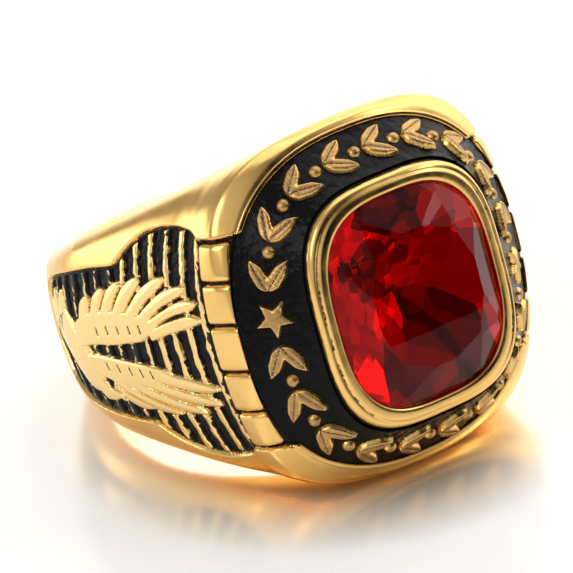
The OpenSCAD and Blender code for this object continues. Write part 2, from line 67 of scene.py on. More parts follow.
def curve_through(xs: Sequence[float], ys: Sequence[float], x: Array) -> Array:
    """Runs a smooth curve without overshoot through points of rising x.

    Args:
        xs: rising places of the points.
        ys: values at the points.
        x: places to read the curve at, held inside the range of xs.

    Returns:
        The curve's value at each x.
    """
    px, py = np.asarray(xs, float), np.asarray(ys, float)
    h, slope = np.diff(px), np.diff(py) / np.diff(px)
    turn = np.zeros(len(px))
    turn[0], turn[-1] = slope[0], slope[-1]
    same = slope[:-1] * slope[1:] > 0
    w1, w2 = 2 * h[1:] + h[:-1], h[1:] + 2 * h[:-1]
    safe = np.where(same, slope[:-1], 1.0), np.where(same, slope[1:], 1.0)
    turn[1:-1] = np.where(same, (w1 + w2) / (w1 / safe[0] + w2 / safe[1]), 0.0)
    x = np.clip(x, px[0], px[-1])
    k = np.clip(np.searchsorted(px, x, side="right") - 1, 0, len(h) - 1)
    t = (x - px[k]) / h[k]
    return ((1 + 2 * t) * (1 - t) ** 2 * py[k] + t * (1 - t) ** 2 * h[k] * turn[k]
            + t * t * (3 - 2 * t) * py[k + 1] + t * t * (t - 1) * h[k] * turn[k + 1])


def ripple(points: Sequence[Array], pitch: float, seed: int, waves: int = 7) -> Array:
    """Gives a soft, repeatable unevenness from summed waves.

    Args:
        points: coordinate arrays of one shape.
        pitch: rough length of a wave.
        seed: picks the waves.
        waves: how many waves are summed.

    Returns:
        Numbers of about -1 to 1, in the shape of the coordinates.
    """
    rng = np.random.default_rng(seed)
    total = np.zeros_like(points[0])
    for _ in range(waves):
        way = rng.normal(size=len(points))
        way *= 2 * math.pi / (pitch * rng.uniform(0.6, 1.6)) / np.linalg.norm(way)
        total += np.sin(sum(w * p for w, p in zip(way, points)) + rng.uniform(0, 6.28))
    return total / math.sqrt(waves)


def unit(v: Array) -> Array:
    """Scales vectors in the last axis to length one."""
    return v / np.maximum(np.linalg.norm(v, axis=-1, keepdims=True), 1e-12)


def polygon_distance(corners: Array, px: Array, py: Array) -> Array:
    """Measures from points to a closed outline, negative inside it.

    Args:
        corners: the outline's corners, one row each.
        px: first coordinates of the points.
        py: second coordinates of the points.

    Returns:
        The signed distances.
    """
    best = np.full(px.shape, 1e9)
    inside = np.zeros(px.shape, bool)
    for (ax, ay), (bx, by) in zip(corners, np.roll(corners, -1, axis=0)):
        ex, ey = bx - ax, by - ay
        t = np.clip(((px - ax) * ex + (py - ay) * ey) / (ex * ex + ey * ey + 1e-12), 0, 1)
        best = np.minimum(best, np.hypot(px - ax - t * ex, py - ay - t * ey))
        crosses = ((ay > py) != (by > py)) & (px < ex * (py - ay) / (ey if ey else 1e-12) + ax)
        inside ^= crosses
    return np.where(inside, -best, best)


@dataclass(frozen=True)
class RestPose:
    """How the ring lies on its side: tipped forward, then lifted onto the floor.

    Args:
        tilt: how far it tips, in degrees.
        forward: shift along the frame's Y, in millimetres.
        lift: shift along the frame's Z, in millimetres.
    """

    tilt: float = 15.3291
    forward: float = 3.00957
    lift: float = 6.16301

    def turned(self, v: Array) -> Array:
        """Turns directions of the ring's own frame into the shared frame.

        Args:
            v: directions, or millimetre points.

        Returns:
            The turned directions.
        """
        s, c = math.sin(math.radians(self.tilt)), math.cos(math.radians(self.tilt))
        return np.stack([v[..., 0], c * v[..., 1] + s * v[..., 2],
                         -s * v[..., 1] + c * v[..., 2]], axis=-1)

    def placed(self, p: Array) -> Array:
        """Puts millimetre points of the ring's own frame into the shared frame, in metres."""
        return (self.turned(p) + np.array([0.0, self.forward, self.lift])) * MM


REST = RestPose()


class Part(Enum):
    """Names of the record's material slots for the kinds of piece."""

    METAL = "gold"
    STONE = "red_glass"
    ENAMEL = "black_enamel"


@dataclass
class Sheet:
    """A grid of points that becomes one smooth piece.

    Args:
        points: rows and columns of millimetre points in the ring's own frame.
        normals: a direction for each point, or None to work them out.
        closed: True where the last column joins the first.
        keep: True for each cell that is built, or None for all.
        marks: named numbers for each point that the finishes read.
    """

    points: Array
    normals: Array | None = None
    closed: bool = False
    keep: Array | None = None
    marks: dict[str, Array] = field(default_factory=dict)

    def facing(self) -> Array:
        """Works out a direction for each point from its neighbours in the grid.

        Returns:
            The directions, in the shape of the points.
        """
        p = self.points
        if self.closed:
            p = np.concatenate([p[:, -1:], p, p[:, :1]], axis=1)
        out = unit(np.cross(np.gradient(p, axis=0), np.gradient(p, axis=1)))
        return out[:, 1:-1] if self.closed else out

    def turn_towards(self, way: Array) -> "Sheet":
        """Works out the normals and turns each to the side that a direction points to.

        Args:
            way: a direction for each point.

        Returns:
            The same sheet.
        """
        normals = self.facing()
        self.normals = normals * np.sign(np.sum(normals * way, axis=-1, keepdims=True))
        return self

    def faces(self) -> Array:
        """Lists the four corners of each cell that is kept.

        Returns:
            The corners' places in the list of points, one row for each cell.
        """
        rows, columns = self.points.shape[:2]
        index = np.arange(rows * columns).reshape(rows, columns)
        if self.closed:
            index = np.concatenate([index, index[:, :1]], axis=1)
        quads = np.stack([index[:-1, :-1], index[:-1, 1:], index[1:, 1:], index[1:, :-1]],
                         axis=-1)
        return quads[self.keep] if self.keep is not None else quads.reshape(-1, 4)

    def build(self, name: str) -> bpy.types.Object:
        """Makes the piece and puts it where the CAD frame says.

        Args:
            name: the piece's name.

        Returns:
            The new object.
        """
        normals = self.normals if self.normals is not None else self.facing()
        quads = self.faces()
        corner = self.points.reshape(-1, 3)[quads]
        turned_out = np.cross(corner[:, 2] - corner[:, 0], corner[:, 3] - corner[:, 1])
        flip = np.sum(turned_out * normals.reshape(-1, 3)[quads[:, 0]]) < 0
        used = np.unique(quads)
        renumber = np.full(self.points.shape[0] * self.points.shape[1], -1)
        renumber[used] = np.arange(len(used))
        quads = renumber[quads]
        if flip:
            quads = quads[:, ::-1]
        points = REST.placed(self.points.reshape(-1, 3)[used])
        mesh = bpy.data.meshes.new(name)
        mesh.vertices.add(len(points))
        mesh.vertices.foreach_set("co", points.astype(np.float32).ravel())
        mesh.loops.add(quads.size)
        mesh.loops.foreach_set("vertex_index", quads.astype(np.int32).ravel())
        mesh.polygons.add(len(quads))
        mesh.polygons.foreach_set("loop_start", np.arange(0, quads.size, 4, dtype=np.int32))
        mesh.polygons.foreach_set("use_smooth", np.ones(len(quads), bool))
        for label, values in self.marks.items():
            layer = mesh.attributes.new(label, "FLOAT", "POINT")
            layer.data.foreach_set("value", values.reshape(-1)[used].astype(np.float32))
        mesh.update(calc_edges=True)
        mesh.validate(clean_customdata=False)
        turned = REST.turned(normals.reshape(-1, 3)[used])
        if len(mesh.vertices) == len(turned):
            mesh.normals_split_custom_set_from_vertices(turned.tolist())
        piece = bpy.data.objects.new(name, mesh)
        bpy.context.scene.collection.objects.link(piece)
        return piece


@dataclass(frozen=True)
class RingForm:
    """The ring's outer form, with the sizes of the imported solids, in millimetres."""

    bore_r: float = 9.7
    band_r: float = 11.6
    back_w: float = 6.6
    side_w: float = 11.8
    dome: float = 1 / 33.4
    edge_square: float = 14.0
    face_w: float = 18.26
    face_l: float = 18.6
    head_l: float = 19.6
    rim_y: float = 13.7
    face_square: float = 2.43
    side_bow: float = 1.6
    bow_x: float = 1 / 125
    bow_z: float = 1 / 200
    lip_w: float = 0.28
    wall_lean: float = 0.06
    channel_d: float = 0.35
    # Of each section: share of the way to the rim, growth in length, roll in at the rim,
    # squareness of the corner, share of the side's dome
    front: tuple[tuple[float, float, float, float, float], ...] = (
        (0.000, 0.000, 0.00, 1.00, 1.00),
        (0.250, 0.233, 0.00, 1.00, 1.00),
        (0.440, 0.415, 0.00, 1.00, 1.00),
        (0.570, 0.550, 0.00, 0.90, 1.00),
        (0.680, 0.675, 0.00, 0.76, 1.00),
        (0.770, 0.790, 0.00, 0.58, 0.90),
        (0.840, 0.890, 0.00, 0.42, 0.65),
        (0.900, 0.970, 0.00, 0.30, 0.35),
        (0.940, 1.000, 0.02, 0.23, 0.10),
        (0.965, 1.000, 0.18, 0.20, 0.05),
        (0.985, 1.000, 0.50, 0.18, 0.00),
        (1.000, 1.000, 1.00, 2.43 / 14, 0.00),
    )

    def level(self, x: Array, z: Array) -> Array:
        """Height of the bowed rim above the finger's centre line."""
        return self.rim_y - self.bow_x * x * x - self.bow_z * z * z

    @staticmethod
    def round_reach(a: Array, hx: Array, hz: Array, square: Array) -> Array:
        """Measures from the middle to a rounded outline.

        Args:
            a: angles round the middle.
            hx: half width.
            hz: half length.
            square: squareness of the corners.

        Returns:
            The distances.
        """
        return ((np.abs(np.cos(a)) / hx) ** square
                + (np.abs(np.sin(a)) / hz) ** square) ** (-1 / square)

    @staticmethod
    def reach(a: Array, hx: Array, hz: Array, square: Array, dome: Array) -> Array:
        """Distance to a section's outline: a domed side and a flat end meet softly.

        Args:
            a: angles round the section.
            hx: half width at the middle of the side.
            hz: half length.
            square: squareness of the corner.
            dome: how fast the side falls back from its middle.

        Returns:
            The distances, in the shape that the arguments broadcast to.
        """
        s, c = np.abs(np.sin(a)), np.abs(np.cos(a))
        bowed = dome * s * s > 1e-7
        safe = np.where(bowed, dome * s * s, 1.0)
        domed = (np.sqrt(c * c + 4 * safe * hx) - c) / (2 * safe)
        to_side = np.where(bowed, domed, hx / np.maximum(c, 1e-9))
        to_end = hz / np.maximum(s, 1e-9)
        near, far = np.minimum(to_side, to_end), np.maximum(to_side, to_end)
        return near * (1 + (near / far) ** square) ** (-1 / square)


@dataclass
class Rows:
    """Sections of the ring from the channel's wall over the rim and round to the back.

    Args:
        form: the outer form.
        fine: spacing of the rows where there is relief, in millimetres.
        coarse: spacing of the rows round the back.
        edge_r: radius of the rim's outer edge.
        edge_clear: where the front's rows start below the rim, in radii of that edge.
        relief_turn: how far the relief goes round the back, in degrees.
        last_turn: turn of the last evenly spaced row, in degrees.
        nips: angles past the bore's edge where more rows are laid, in degrees.
        front_nips: how many of those are used in front too.
        wall_steps: down the channel's wall: inset from the rim, and depth below it.
        edge_turns: steps round the rim's outer edge, in degrees.
    """

    form: RingForm
    fine: float = 0.068
    coarse: float = 0.36
    edge_r: float = 0.1
    edge_clear: float = 1.15
    relief_turn: float = 31.0
    last_turn: float = 89.5
    nips: tuple[float, ...] = (0.0, 0.6, 1.5, 3.0, 5.0, 8.0, 11.0)
    front_nips: int = 5
    wall_steps: tuple[tuple[float, float], ...] = (
        (0.345, 0.36), (0.34, 0.31), (0.33, 0.25), (0.325, 0.19), (0.315, 0.13),
        (0.30, 0.075), (0.28, 0.03), (0.25, 0.006), (0.21, 0.0), (0.16, 0.0), (0.12, 0.0),
    )
    edge_turns: tuple[float, ...] = (0, 20, 40, 58, 74)

    def __post_init__(self) -> None:
        """Works out the size of every section."""
        form, r = self.form, self.edge_r
        wall = list(self.wall_steps)
        wall += [(r * (1 - math.sin(t)), r * (1 - math.cos(t)))
                 for t in np.radians(self.edge_turns)]
        side_level = form.level(form.face_w / 2, 0.0)
        first = 1 - self.edge_clear * r / side_level
        count = int(side_level * first / self.fine)
        shares = list(np.linspace(first, 0, count + 1))
        end_level = form.level(0.0, form.face_l / 2)
        nips = form.bore_r * np.cos(np.radians(self.nips))
        shares = sorted(shares + list(nips[:self.front_nips] / end_level), reverse=True)
        fine_turns = int(form.band_r * math.radians(self.relief_turn) / self.fine)
        turns = list(np.linspace(0, self.relief_turn, fine_turns + 1)[1:])
        left = form.band_r * math.radians(90 - self.relief_turn)
        turns += list(np.linspace(self.relief_turn, self.last_turn,
                                  int(left / self.coarse) + 1)[1:])
        turns += list(np.degrees(np.arcsin(nips / form.band_r)))
        turns = sorted(turns) + [90.0]
        plain = [0.0] * (len(shares) + len(turns))
        inset = np.array([w[0] for w in wall] + plain)
        self.sunk = np.array([w[1] for w in wall] + plain)
        self.wall = np.arange(len(inset)) < len(wall)
        share = np.array([1.0] * len(wall) + shares + [0.0] * len(turns))
        turn = np.radians([0.0] * (len(wall) + len(shares)) + turns)
        self.share, self.turn = share, turn
        self.back = turn > 0
        at = [row[0] for row in form.front]
        growth, roll, square, domed = (curve_through(at, [row[k] for row in form.front], share)
                                       for k in range(1, 5))
        front_x = form.band_r - (form.band_r - form.face_w / 2) * share ** form.side_bow
        front_z = (form.side_w + (form.head_l - form.side_w) * growth) / 2 \
            - roll * (form.head_l - form.face_l) / 2
        back_x = np.maximum(form.band_r * np.cos(turn), 1e-6)
        back_z = (form.back_w + (form.side_w - form.back_w)
                  * (1 - np.sin(turn)) ** form.side_bow) / 2
        self.hx = np.where(self.back, back_x, front_x) - inset
        self.hz = np.where(self.back, back_z, front_z) - inset
        self.square = form.edge_square * np.where(self.back, 1.0, square)
        self.dome = form.dome * np.where(self.back, np.cos(turn), domed)

    def points(self, a: Array) -> Array:
        """Puts points of every section at the angles given.

        Args:
            a: angles, one row of them for each section.

        Returns:
            Millimetre points in the ring's own frame.
        """
        form = self.form
        r = form.reach(a, self.hx[COL], self.hz[COL], self.square[COL], self.dome[COL])
        x, z = r * np.cos(a), r * np.sin(a)
        rim_r = form.round_reach(a, form.face_w / 2, form.face_l / 2, form.face_square)
        at_rim = form.level(rim_r * np.cos(a), rim_r * np.sin(a))
        front = -at_rim * self.share[COL]
        wall = self.sunk[COL] - form.level(x, z)
        back = (form.band_r - form.dome * z * z) * np.sin(self.turn[COL])
        y = np.where(self.back[COL], back, np.where(self.wall[COL], wall, front))
        return np.stack([x, y, z], axis=-1)

    def bore_x(self) -> Array:
        """Finds where each section's flat end meets the bore, by halving.

        Returns:
            The place across the ring, or 0 where they don't meet.
        """
        low, high = np.zeros(len(self.hx)), self.hx - self.dome * self.hz ** 2
        high = np.maximum(high, 1e-6)
        meets = self.outside_bore(low) < 0
        for _ in range(46):
            mid = (low + high) / 2
            under = self.outside_bore(mid) < 0
            low, high = np.where(under, mid, low), np.where(under, high, mid)
        return np.where(meets, (low + high) / 2, 0.0)

    def outside_bore(self, x: Array) -> Array:
        """Measures how far outside the bore each section's end is.

        Args:
            x: a place across the ring for each section.

        Returns:
            The distances, negative inside the bore.
        """
        a = np.arctan2(self.hz, x)[:, None]
        p = self.points(a)[:, 0]
        return np.hypot(p[:, 0], p[:, 1]) - self.form.bore_r


@dataclass
class Casting:
    """One side of the cast ring: wall and lip of the channel, flank, bricks and back.

    Args:
        rows: the sections.
        fine: spacing of the columns across the relief, as a share of the half length.
        relief_to: share of the half length where that spacing ends.
        corner_steps: columns over each rounded corner.
        end_steps: columns over each flat end.
        bore_edge: radius of the bore's edges.
    """

    rows: Rows
    fine: float = 0.008
    relief_to: float = 0.87
    corner_steps: int = 12
    end_steps: int = 15
    bore_edge: float = 0.28

    def __post_init__(self) -> None:
        """Lays the grid over one side, before any relief."""
        rows = self.rows
        middle = np.linspace(-self.relief_to, self.relief_to,
                             2 * int(self.relief_to / self.fine) + 1)
        corner = self.relief_to + (1 - self.relief_to) * np.sin(
            np.linspace(0, math.pi / 2, self.corner_steps + 1)[1:])
        w = np.concatenate([-corner[::-1], middle, corner])
        v = (1 - np.cos(np.linspace(0, math.pi, self.end_steps + 1)[:-1])) / 2
        hz = rows.hz[COL]
        a_mid = np.arctan2(w * hz, np.maximum(rows.hx[COL] - rows.dome[COL] * (w * hz) ** 2,
                                              1e-9))
        corner_x = rows.hx - rows.dome * rows.hz ** 2
        bore_x = rows.bore_x()
        x_end = bore_x[COL] + (corner_x - bore_x)[COL] * v
        a_end = np.arctan2(hz, np.maximum(x_end, 1e-9))
        self.base = rows.points(np.concatenate([-a_end, a_mid, a_end[:, ::-1]], axis=1))
        self.ends = len(v)
        self.side = np.ones(self.base.shape[1], bool)
        self.side[:self.ends] = self.side[-self.ends:] = False
        out = Sheet(self.base).facing()
        out[:, [0, -1], 0] = np.where(self.base[:, [0, -1], 0] < 1e-6, 0.0,
                                      out[:, [0, -1], 0])
        self.out = unit(out)

    def rounded_ends(self) -> Array:
        """Softens the edge where the flat ends meet the bore.

        Returns:
            The points, with the ends eased down towards the bore.
        """
        p = self.base.copy()
        over = np.hypot(p[..., 0], p[..., 1]) - self.rows.form.bore_r
        r = self.bore_edge
        near = np.clip(r - over, 0.0, r)
        drop = r - np.sqrt(np.maximum(r * r - near * near, 0.0))
        p[..., 2] -= np.where(self.side, 0.0, np.sign(p[..., 2]) * drop)
        return p

    def sheet(self, relief: "SideRelief") -> Sheet:
        """Cuts the relief into the side.

        Args:
            relief: works out depth and grime from a place on the side.

        Returns:
            The finished grid for the ring's +X side.
        """
        p, lip = self.rounded_ends(), self.rows.wall
        depth, grime, painted_highlight = (np.where(self.side, value, 0.0) for value in
                              relief.depth(self.base[..., 1], self.base[..., 2]))
        floor = self.rows.form.channel_d + 0.01 - self.rows.sunk
        way = np.where(lip[:, None, None], np.array([0.0, -1.0, 0.0]), self.out)
        depth = np.where(lip[COL], np.minimum(depth, np.maximum(floor, 0)[COL]), depth)
        p = p - way * depth[..., None]
        sheet = Sheet(p, marks={"grime": grime, "painted_highlight": painted_highlight})
        normals = sheet.facing()
        normals[np.abs(p[..., 0]) < 1e-5, 0] = 0.0
        sheet.normals = unit(normals)
        return sheet


def mirrored(sheet: Sheet) -> Sheet:
    """Gives the same grid on the ring's -X side.

    Args:
        sheet: the grid of the +X side.

    Returns:
        The mirrored grid.
    """
    turn = np.array([-1.0, 1.0, 1.0])
    return Sheet(sheet.points * turn, sheet.normals * turn, sheet.closed, sheet.keep,
                 sheet.marks)


@dataclass(frozen=True)
class Fan:
    """A fan of feathers, with places as shares of the panel's length and half height.

    Args:
        wide: greatest width of a feather, in widths of a plain one.
        lines: strength of the fine lines along the feathers, from 0 to 1.
        gap: half width of the gaps between the feathers' ends, in millimetres.
        rows: root and tip of each feather.
        shoulder: outline of the smooth part that they grow out of, or none for a tail.
        ticks: middles of the short engraved ticks.
    """

    wide: float
    lines: float
    gap: float
    rows: tuple[tuple[float, float, float, float], ...]
    shoulder: tuple[tuple[float, float], ...] = ()
    ticks: tuple[tuple[float, float], ...] = ()


@dataclass
class SideRelief:
    """What is cast into a side: bricks, and a panel with ribs and a bird in flight.

    Lengths are in millimetres. Panel places are shares of its length and half height.
    Depths are measured down from the side's plain face.
    """

    form: RingForm
    panel_l: float = 16.5
    panel_w: float = 13.1
    panel_y: float = 10.933
    brick_row: float = 11.6
    joint_w: float = 0.2
    joint_d: float = 0.36
    pillow_r: float = 0.34
    corner_r: float = 0.26
    floor_d: float = 0.5
    rib_w: float = 0.56
    rib_pitch: float = 1.2
    rib_low: float = 0.17
    rib_clear: float = 0.13
    feather_w: float = 0.72
    bird_low: float = 0.08
    sweep: float = 0.22
    wall_w: float = 0.09
    # Depths cut into the bird
    swell_d: float = 0.08
    between_d: float = 0.06
    slit_d: float = 0.28
    edge_d: float = 0.09
    line_d: float = 0.03
    tick_d: float = 0.06
    trench_d: float = 0.34
    round_d: float = 0.17
    barb_pitch: float = 0.46
    # How far parts of the body drop outside their outline, and over what width
    drop_d: float = 0.6
    drop_w: float = 0.12
    # Bricks: depth of their pillow shape
    pillow_d: float = 0.12
    joints: tuple[float, ...] = (0.226, 0.626, 1.0)
    # Share of the panel's length, share of its half height
    outline: tuple[tuple[float, float], ...] = (
        (0.00, 0.885), (0.05, 0.965), (0.15, 1.00), (0.25, 0.97), (0.325, 0.885),
        (0.385, 0.78), (0.43, 0.69), (0.54, 0.665), (0.69, 0.61), (0.86, 0.52),
        (0.95, 0.38), (1.00, 0.12),
    )
    # Widths of the body and the neck, in widths of a feather
    body_w: float = 4.0
    neck_w: float = 1.7
    backbone: tuple[float, float, float, float] = (0.81, 0.08, 0.70, -0.24)
    neck: tuple[float, float, float, float] = (0.705, -0.22, 0.635, -0.435)
    beak: tuple[tuple[float, float], ...] = (
        (0.65, -0.515), (0.60, -0.52), (0.562, -0.49), (0.545, -0.52), (0.548, -0.455),
        (0.59, -0.40), (0.63, -0.38),
    )
    upper: Fan = Fan(
        wide=1.36, lines=0.2, gap=0.07,
        rows=(
            (0.645, 0.16, 0.590, 0.43), (0.575, 0.20, 0.495, 0.505),
            (0.520, 0.21, 0.405, 0.565), (0.460, 0.21, 0.305, 0.605),
            (0.400, 0.20, 0.185, 0.605), (0.350, 0.18, 0.090, 0.525),
            (0.310, 0.15, 0.045, 0.395), (0.290, 0.11, 0.032, 0.25),
        ),
        shoulder=(
            (0.72, 0.16), (0.66, 0.25), (0.59, 0.30), (0.48, 0.33), (0.37, 0.32), (0.29, 0.27),
            (0.25, 0.21), (0.27, 0.14), (0.34, 0.05), (0.48, 0.01), (0.61, 0.00), (0.70, -0.04),
        ),
        ticks=(
            (0.565, 0.13), (0.505, 0.145), (0.445, 0.155), (0.385, 0.16), (0.33, 0.165),
        ),
    )
    lower: Fan = Fan(
        wide=1.3, lines=0.3, gap=0.025,
        rows=(
            (0.570, -0.355, 0.390, -0.555), (0.560, -0.30, 0.260, -0.600),
            (0.520, -0.26, 0.140, -0.590), (0.460, -0.225, 0.055, -0.505),
            (0.400, -0.18, 0.040, -0.365),
        ),
        shoulder=(
            (0.69, -0.09), (0.58, -0.08), (0.47, -0.11), (0.36, -0.14), (0.27, -0.18),
            (0.23, -0.23), (0.27, -0.29), (0.36, -0.34), (0.46, -0.35), (0.57, -0.32),
            (0.66, -0.25),
        ),
        ticks=(
            (0.56, -0.18), (0.50, -0.195), (0.44, -0.21), (0.385, -0.225), (0.335, -0.235),
        ),
    )
    tail: Fan = Fan(
        wide=1.4, lines=0.3, gap=0.04,
        rows=(
            (0.820, 0.06, 0.775, 0.45), (0.840, 0.06, 0.855, 0.43), (0.860, 0.06, 0.925, 0.32),
        ),
    )

    def place(self, share: Sequence[float]) -> Array:
        """Turns shares of the panel into a place on the side."""
        return np.array([share[0] * self.panel_l - self.panel_y,
                         share[1] * self.panel_w / 2])

    def inside_of(self, corners: Iterable[Sequence[float]], y: Array, z: Array) -> Array:
        """Measures to an outline given in shares of the panel, negative inside it."""
        return polygon_distance(np.array([self.place(c) for c in corners]), y, z)

    def panel_distance(self, y: Array, z: Array) -> Array:
        """Measures to the panel's outline.

        Args:
            y: places along the side.
            z: places up the side.

        Returns:
            The distances, negative inside it.
        """
        at = [row[0] for row in self.outline]
        half = [row[1] for row in self.outline]
        share = np.concatenate([np.linspace(0, 0.95, 58), np.linspace(0.955, 1.0, 8)])
        top = curve_through(at, half, share)
        upper = np.stack([share * self.panel_l - self.panel_y, top * self.panel_w / 2], -1)
        lower = upper[::-1] * [1, -1]
        return polygon_distance(np.concatenate([upper, lower]), y, z)

    def feather(self, row: Sequence[float], wide: float, y: Array,
                z: Array) -> tuple[Array, Array, Array]:
        """Measures a feather that swells towards its middle and ends in a rounded tip.

        Args:
            row: root and tip in shares of the panel.
            wide: greatest width.
            y: places along the side.
            z: places up the side.

        Returns:
            Distance outside the feather, share of the half width from its middle line,
            and share of its length from the root.
        """
        root, tip = self.place(row[:2]), self.place(row[2:])
        way = tip - root
        length = float(np.hypot(*way))
        way /= length
        u = ((y - root[0]) * way[0] + (z - root[1]) * way[1]) / length
        side = (z - root[1]) * way[0] - (y - root[0]) * way[1]
        side = np.abs(side - self.sweep * np.sin(np.clip(u, 0, 1) * math.pi)
                      * np.sign(-row[3]))
        half = wide / 2 * curve_through((0, 0.25, 0.55, 0.8, 0.92, 0.98, 1.0),
                                        (0.75, 0.92, 1.0, 0.8, 0.56, 0.28, 0.02), u)
        over = np.maximum(side - half, np.maximum(-u, u - 1) * length)
        return over, side / np.maximum(half, 0.03), u

    def wing(self, fan: Fan, y: Array, z: Array) -> tuple[Array, Array]:
        """Shapes a fan of feathers and the shoulder that they grow out of.

        Args:
            fan: the feathers.
            y: places along the side.
            z: places up the side.

        Returns:
            Height below the side's face, and grime in the grooves.
        """
        wide = self.feather_w * fan.wide
        found = [self.feather(row, wide, y, z) for row in fan.rows]
        over = np.min([f[0] for f in found], axis=0)
        q = np.array([f[1] + 4 * np.clip(np.maximum(-f[2] - 0.02, f[2] - 1), 0, 9)
                      for f in found])
        order = np.argsort(q, axis=0)
        first = np.take_along_axis(q, order[:1], 0)[0]
        second = np.take_along_axis(q, order[1:2], 0)[0]
        u = np.take_along_axis(np.array([f[2] for f in found]), order[:1], 0)[0]
        fade, dark, cut = (np.ones(y.shape) for _ in range(3))
        if fan.shoulder:
            plain = self.inside_of(fan.shoulder, y, z)
            over = np.minimum(over, plain)
            fade = smooth_step(-0.25, 0.35, plain)
            dark, cut = smooth_step(-0.1, 0.08, plain), smooth_step(-0.1, 0.5, plain)
        groove = smooth_step(0.42, 0.05, second - first) * fade
        opening = 0.01 + fan.gap * smooth_step(0.15, 0.6, u)
        slit = smooth_step(1.35, 0.7, (second - first) * wide / 4 / opening) \
            * smooth_step(0.1, 0.2, u) * dark
        swell = np.clip(first, 0, 1) ** 2 * fade
        fine = smooth_step(0.15, 0.03, np.abs(first - 0.45)) * smooth_step(0.3, 0.5, u) \
            * smooth_step(0.97, 0.85, u) * fade * fan.lines
        edge = np.clip(1 + over / 0.2, 0, 1) ** 2
        top = -self.bird_low - self.swell_d * swell - self.between_d * groove \
            - self.slit_d * slit * cut - self.edge_d * edge - self.line_d * fine
        grime = np.maximum(np.maximum(slit, 0.9 * groove * smooth_step(0.6, 0.95, first)),
                           0.8 * fine)
        for tick in fan.ticks:
            at = self.place(tick)
            dy = np.abs(y - at[0] - 0.2 * (z - at[1]))
            line = smooth_step(0.085, 0.02, dy) * smooth_step(0.34, 0.2, np.abs(z - at[1]))
            top = top - self.tick_d * line
            grime = np.maximum(grime, line)
        wall = np.clip(over / self.wall_w, 0, 1)
        return top - (self.floor_d + 0.1) * wall, grime

    def drop(self, outside: Array) -> Array:
        """Gives how far a part of the body has dropped at a distance outside it."""
        return self.drop_d * np.clip(outside / self.drop_w, 0, 1)

    def limb(self, row: Sequence[float], wide: float, y: Array,
             z: Array) -> tuple[Array, Array]:
        """Shapes a rounded body part between two places.

        Args:
            row: both places in shares of the panel.
            wide: its width.
            y: places along the side.
            z: places up the side.

        Returns:
            Its height below the side's face, and the distance outside it.
        """
        a, b = self.place(row[:2]), self.place(row[2:])
        way = b - a
        t = np.clip(((y - a[0]) * way[0] + (z - a[1]) * way[1]) / (way @ way), 0, 1)
        off = np.hypot(y - a[0] - t * way[0], z - a[1] - t * way[1]) / (wide / 2)
        outside = (off - 1) * wide / 2
        return -self.bird_low + 0.012 - self.round_d * np.clip(off, 0, 1) ** 3.5 \
            - self.drop(outside), outside

    def bird(self, y: Array, z: Array) -> tuple[Array, Array]:
        """Shapes the whole bird.

        Args:
            y: places along the side.
            z: places up the side.

        Returns:
            Height below the side's face, and grime in its grooves.
        """
        upper, lower, tail = (self.wing(fan, y, z)
                              for fan in (self.upper, self.lower, self.tail))
        body, _ = self.limb(self.backbone, self.feather_w * self.body_w, y, z)
        neck, beside = self.limb(self.neck, self.feather_w * self.neck_w, y, z)
        point = self.inside_of(self.beak, y, z)
        beak = -self.bird_low - 0.03 - 0.06 * np.clip(1 + point / 0.2, 0, 1) ** 2 \
            - self.drop(point)
        beside = np.minimum(beside, point)
        trench = smooth_step(0.26, 0.1, beside) * (beside > 0)
        lower = (lower[0] - self.trench_d * trench, np.maximum(lower[1], trench))
        a, b = self.place(self.backbone[:2]), self.place(self.backbone[2:])
        way = unit(b - a)
        along = (y - a[0]) * way[0] + (z - a[1]) * way[1]
        side = (z - a[1]) * way[0] - (y - a[0]) * way[1]
        pitch = self.barb_pitch
        barbs = np.abs(((side + 0.06 * np.sin(along * 2.1)) / pitch) % 1.0 - 0.5)
        barb = smooth_step(0.13, 0.03, barbs) * smooth_step(0.2, 0.6, along) \
            * smooth_step(2.6, 1.9, along) * smooth_step(
                0.1, 0.5, np.sin(along * 3.4 + np.floor(side / pitch) * 2.1))
        whole = np.maximum(np.maximum(body - 0.03 * barb, neck + 0.008), beak)
        layers = [upper, lower, tail, (whole, 0.5 * barb * (body > neck))]
        height, grime = np.full(y.shape, -self.floor_d), np.zeros(y.shape)
        for own, dirt in layers:
            higher = own > height
            step = 0.6 * smooth_step(0.05, 0.0, np.abs(own - height)) * (own > -0.3) \
                * (height > -0.3)
            grime = np.maximum(np.where(higher, dirt, grime), step)
            height = np.maximum(height, own)
        return height, grime

    def ribs(self, y: Array, z: Array, edge: Array, bird: Array) -> tuple[Array, Array]:
        """Shapes the worn ribs between the panel's edge and the bird.

        Args:
            y: places along the side.
            z: places up the side.
            edge: distance to the panel's outline.
            bird: the bird's height.

        Returns:
            Height below the side's face, and grime on the ribs.
        """
        start = y + self.panel_y - self.rib_clear
        step = np.floor(start / self.rib_pitch)
        off = np.abs(start - step * self.rib_pitch - self.rib_w / 2)
        rough = ripple([y, z * 0.6], 0.7, 3)
        fine = ripple([y, z * 0.7], 0.24, 4)
        half = self.rib_w / 2 * (0.9 + 0.1 * rough)
        top = -self.rib_low - 0.06 * (off / half) ** 2 + 0.012 * rough + 0.006 * fine
        height = top - (self.floor_d - self.rib_low) * np.clip((off - half) / 0.08, 0, 1)
        clear = smooth_step(0.04, 0.16, -edge) * smooth_step(-0.46, -0.48, bird)
        height = -self.floor_d + (height + self.floor_d) * clear
        between = smooth_step(0.6, 0.3, z) * smooth_step(-3.0, -2.6, z)
        back = np.maximum(smooth_step(-4.6, -2.4, y), between * smooth_step(-6.6, -5.2, y))
        worn = smooth_step(-0.2, 0.5, 0.25 * rough + 0.3 * fine + 0.95 - 1.2 * (off / half) ** 2
                           - 0.75 * back - 0.4 * smooth_step(1.1, 0.2, -edge))
        return height, 1 - 0.92 * worn

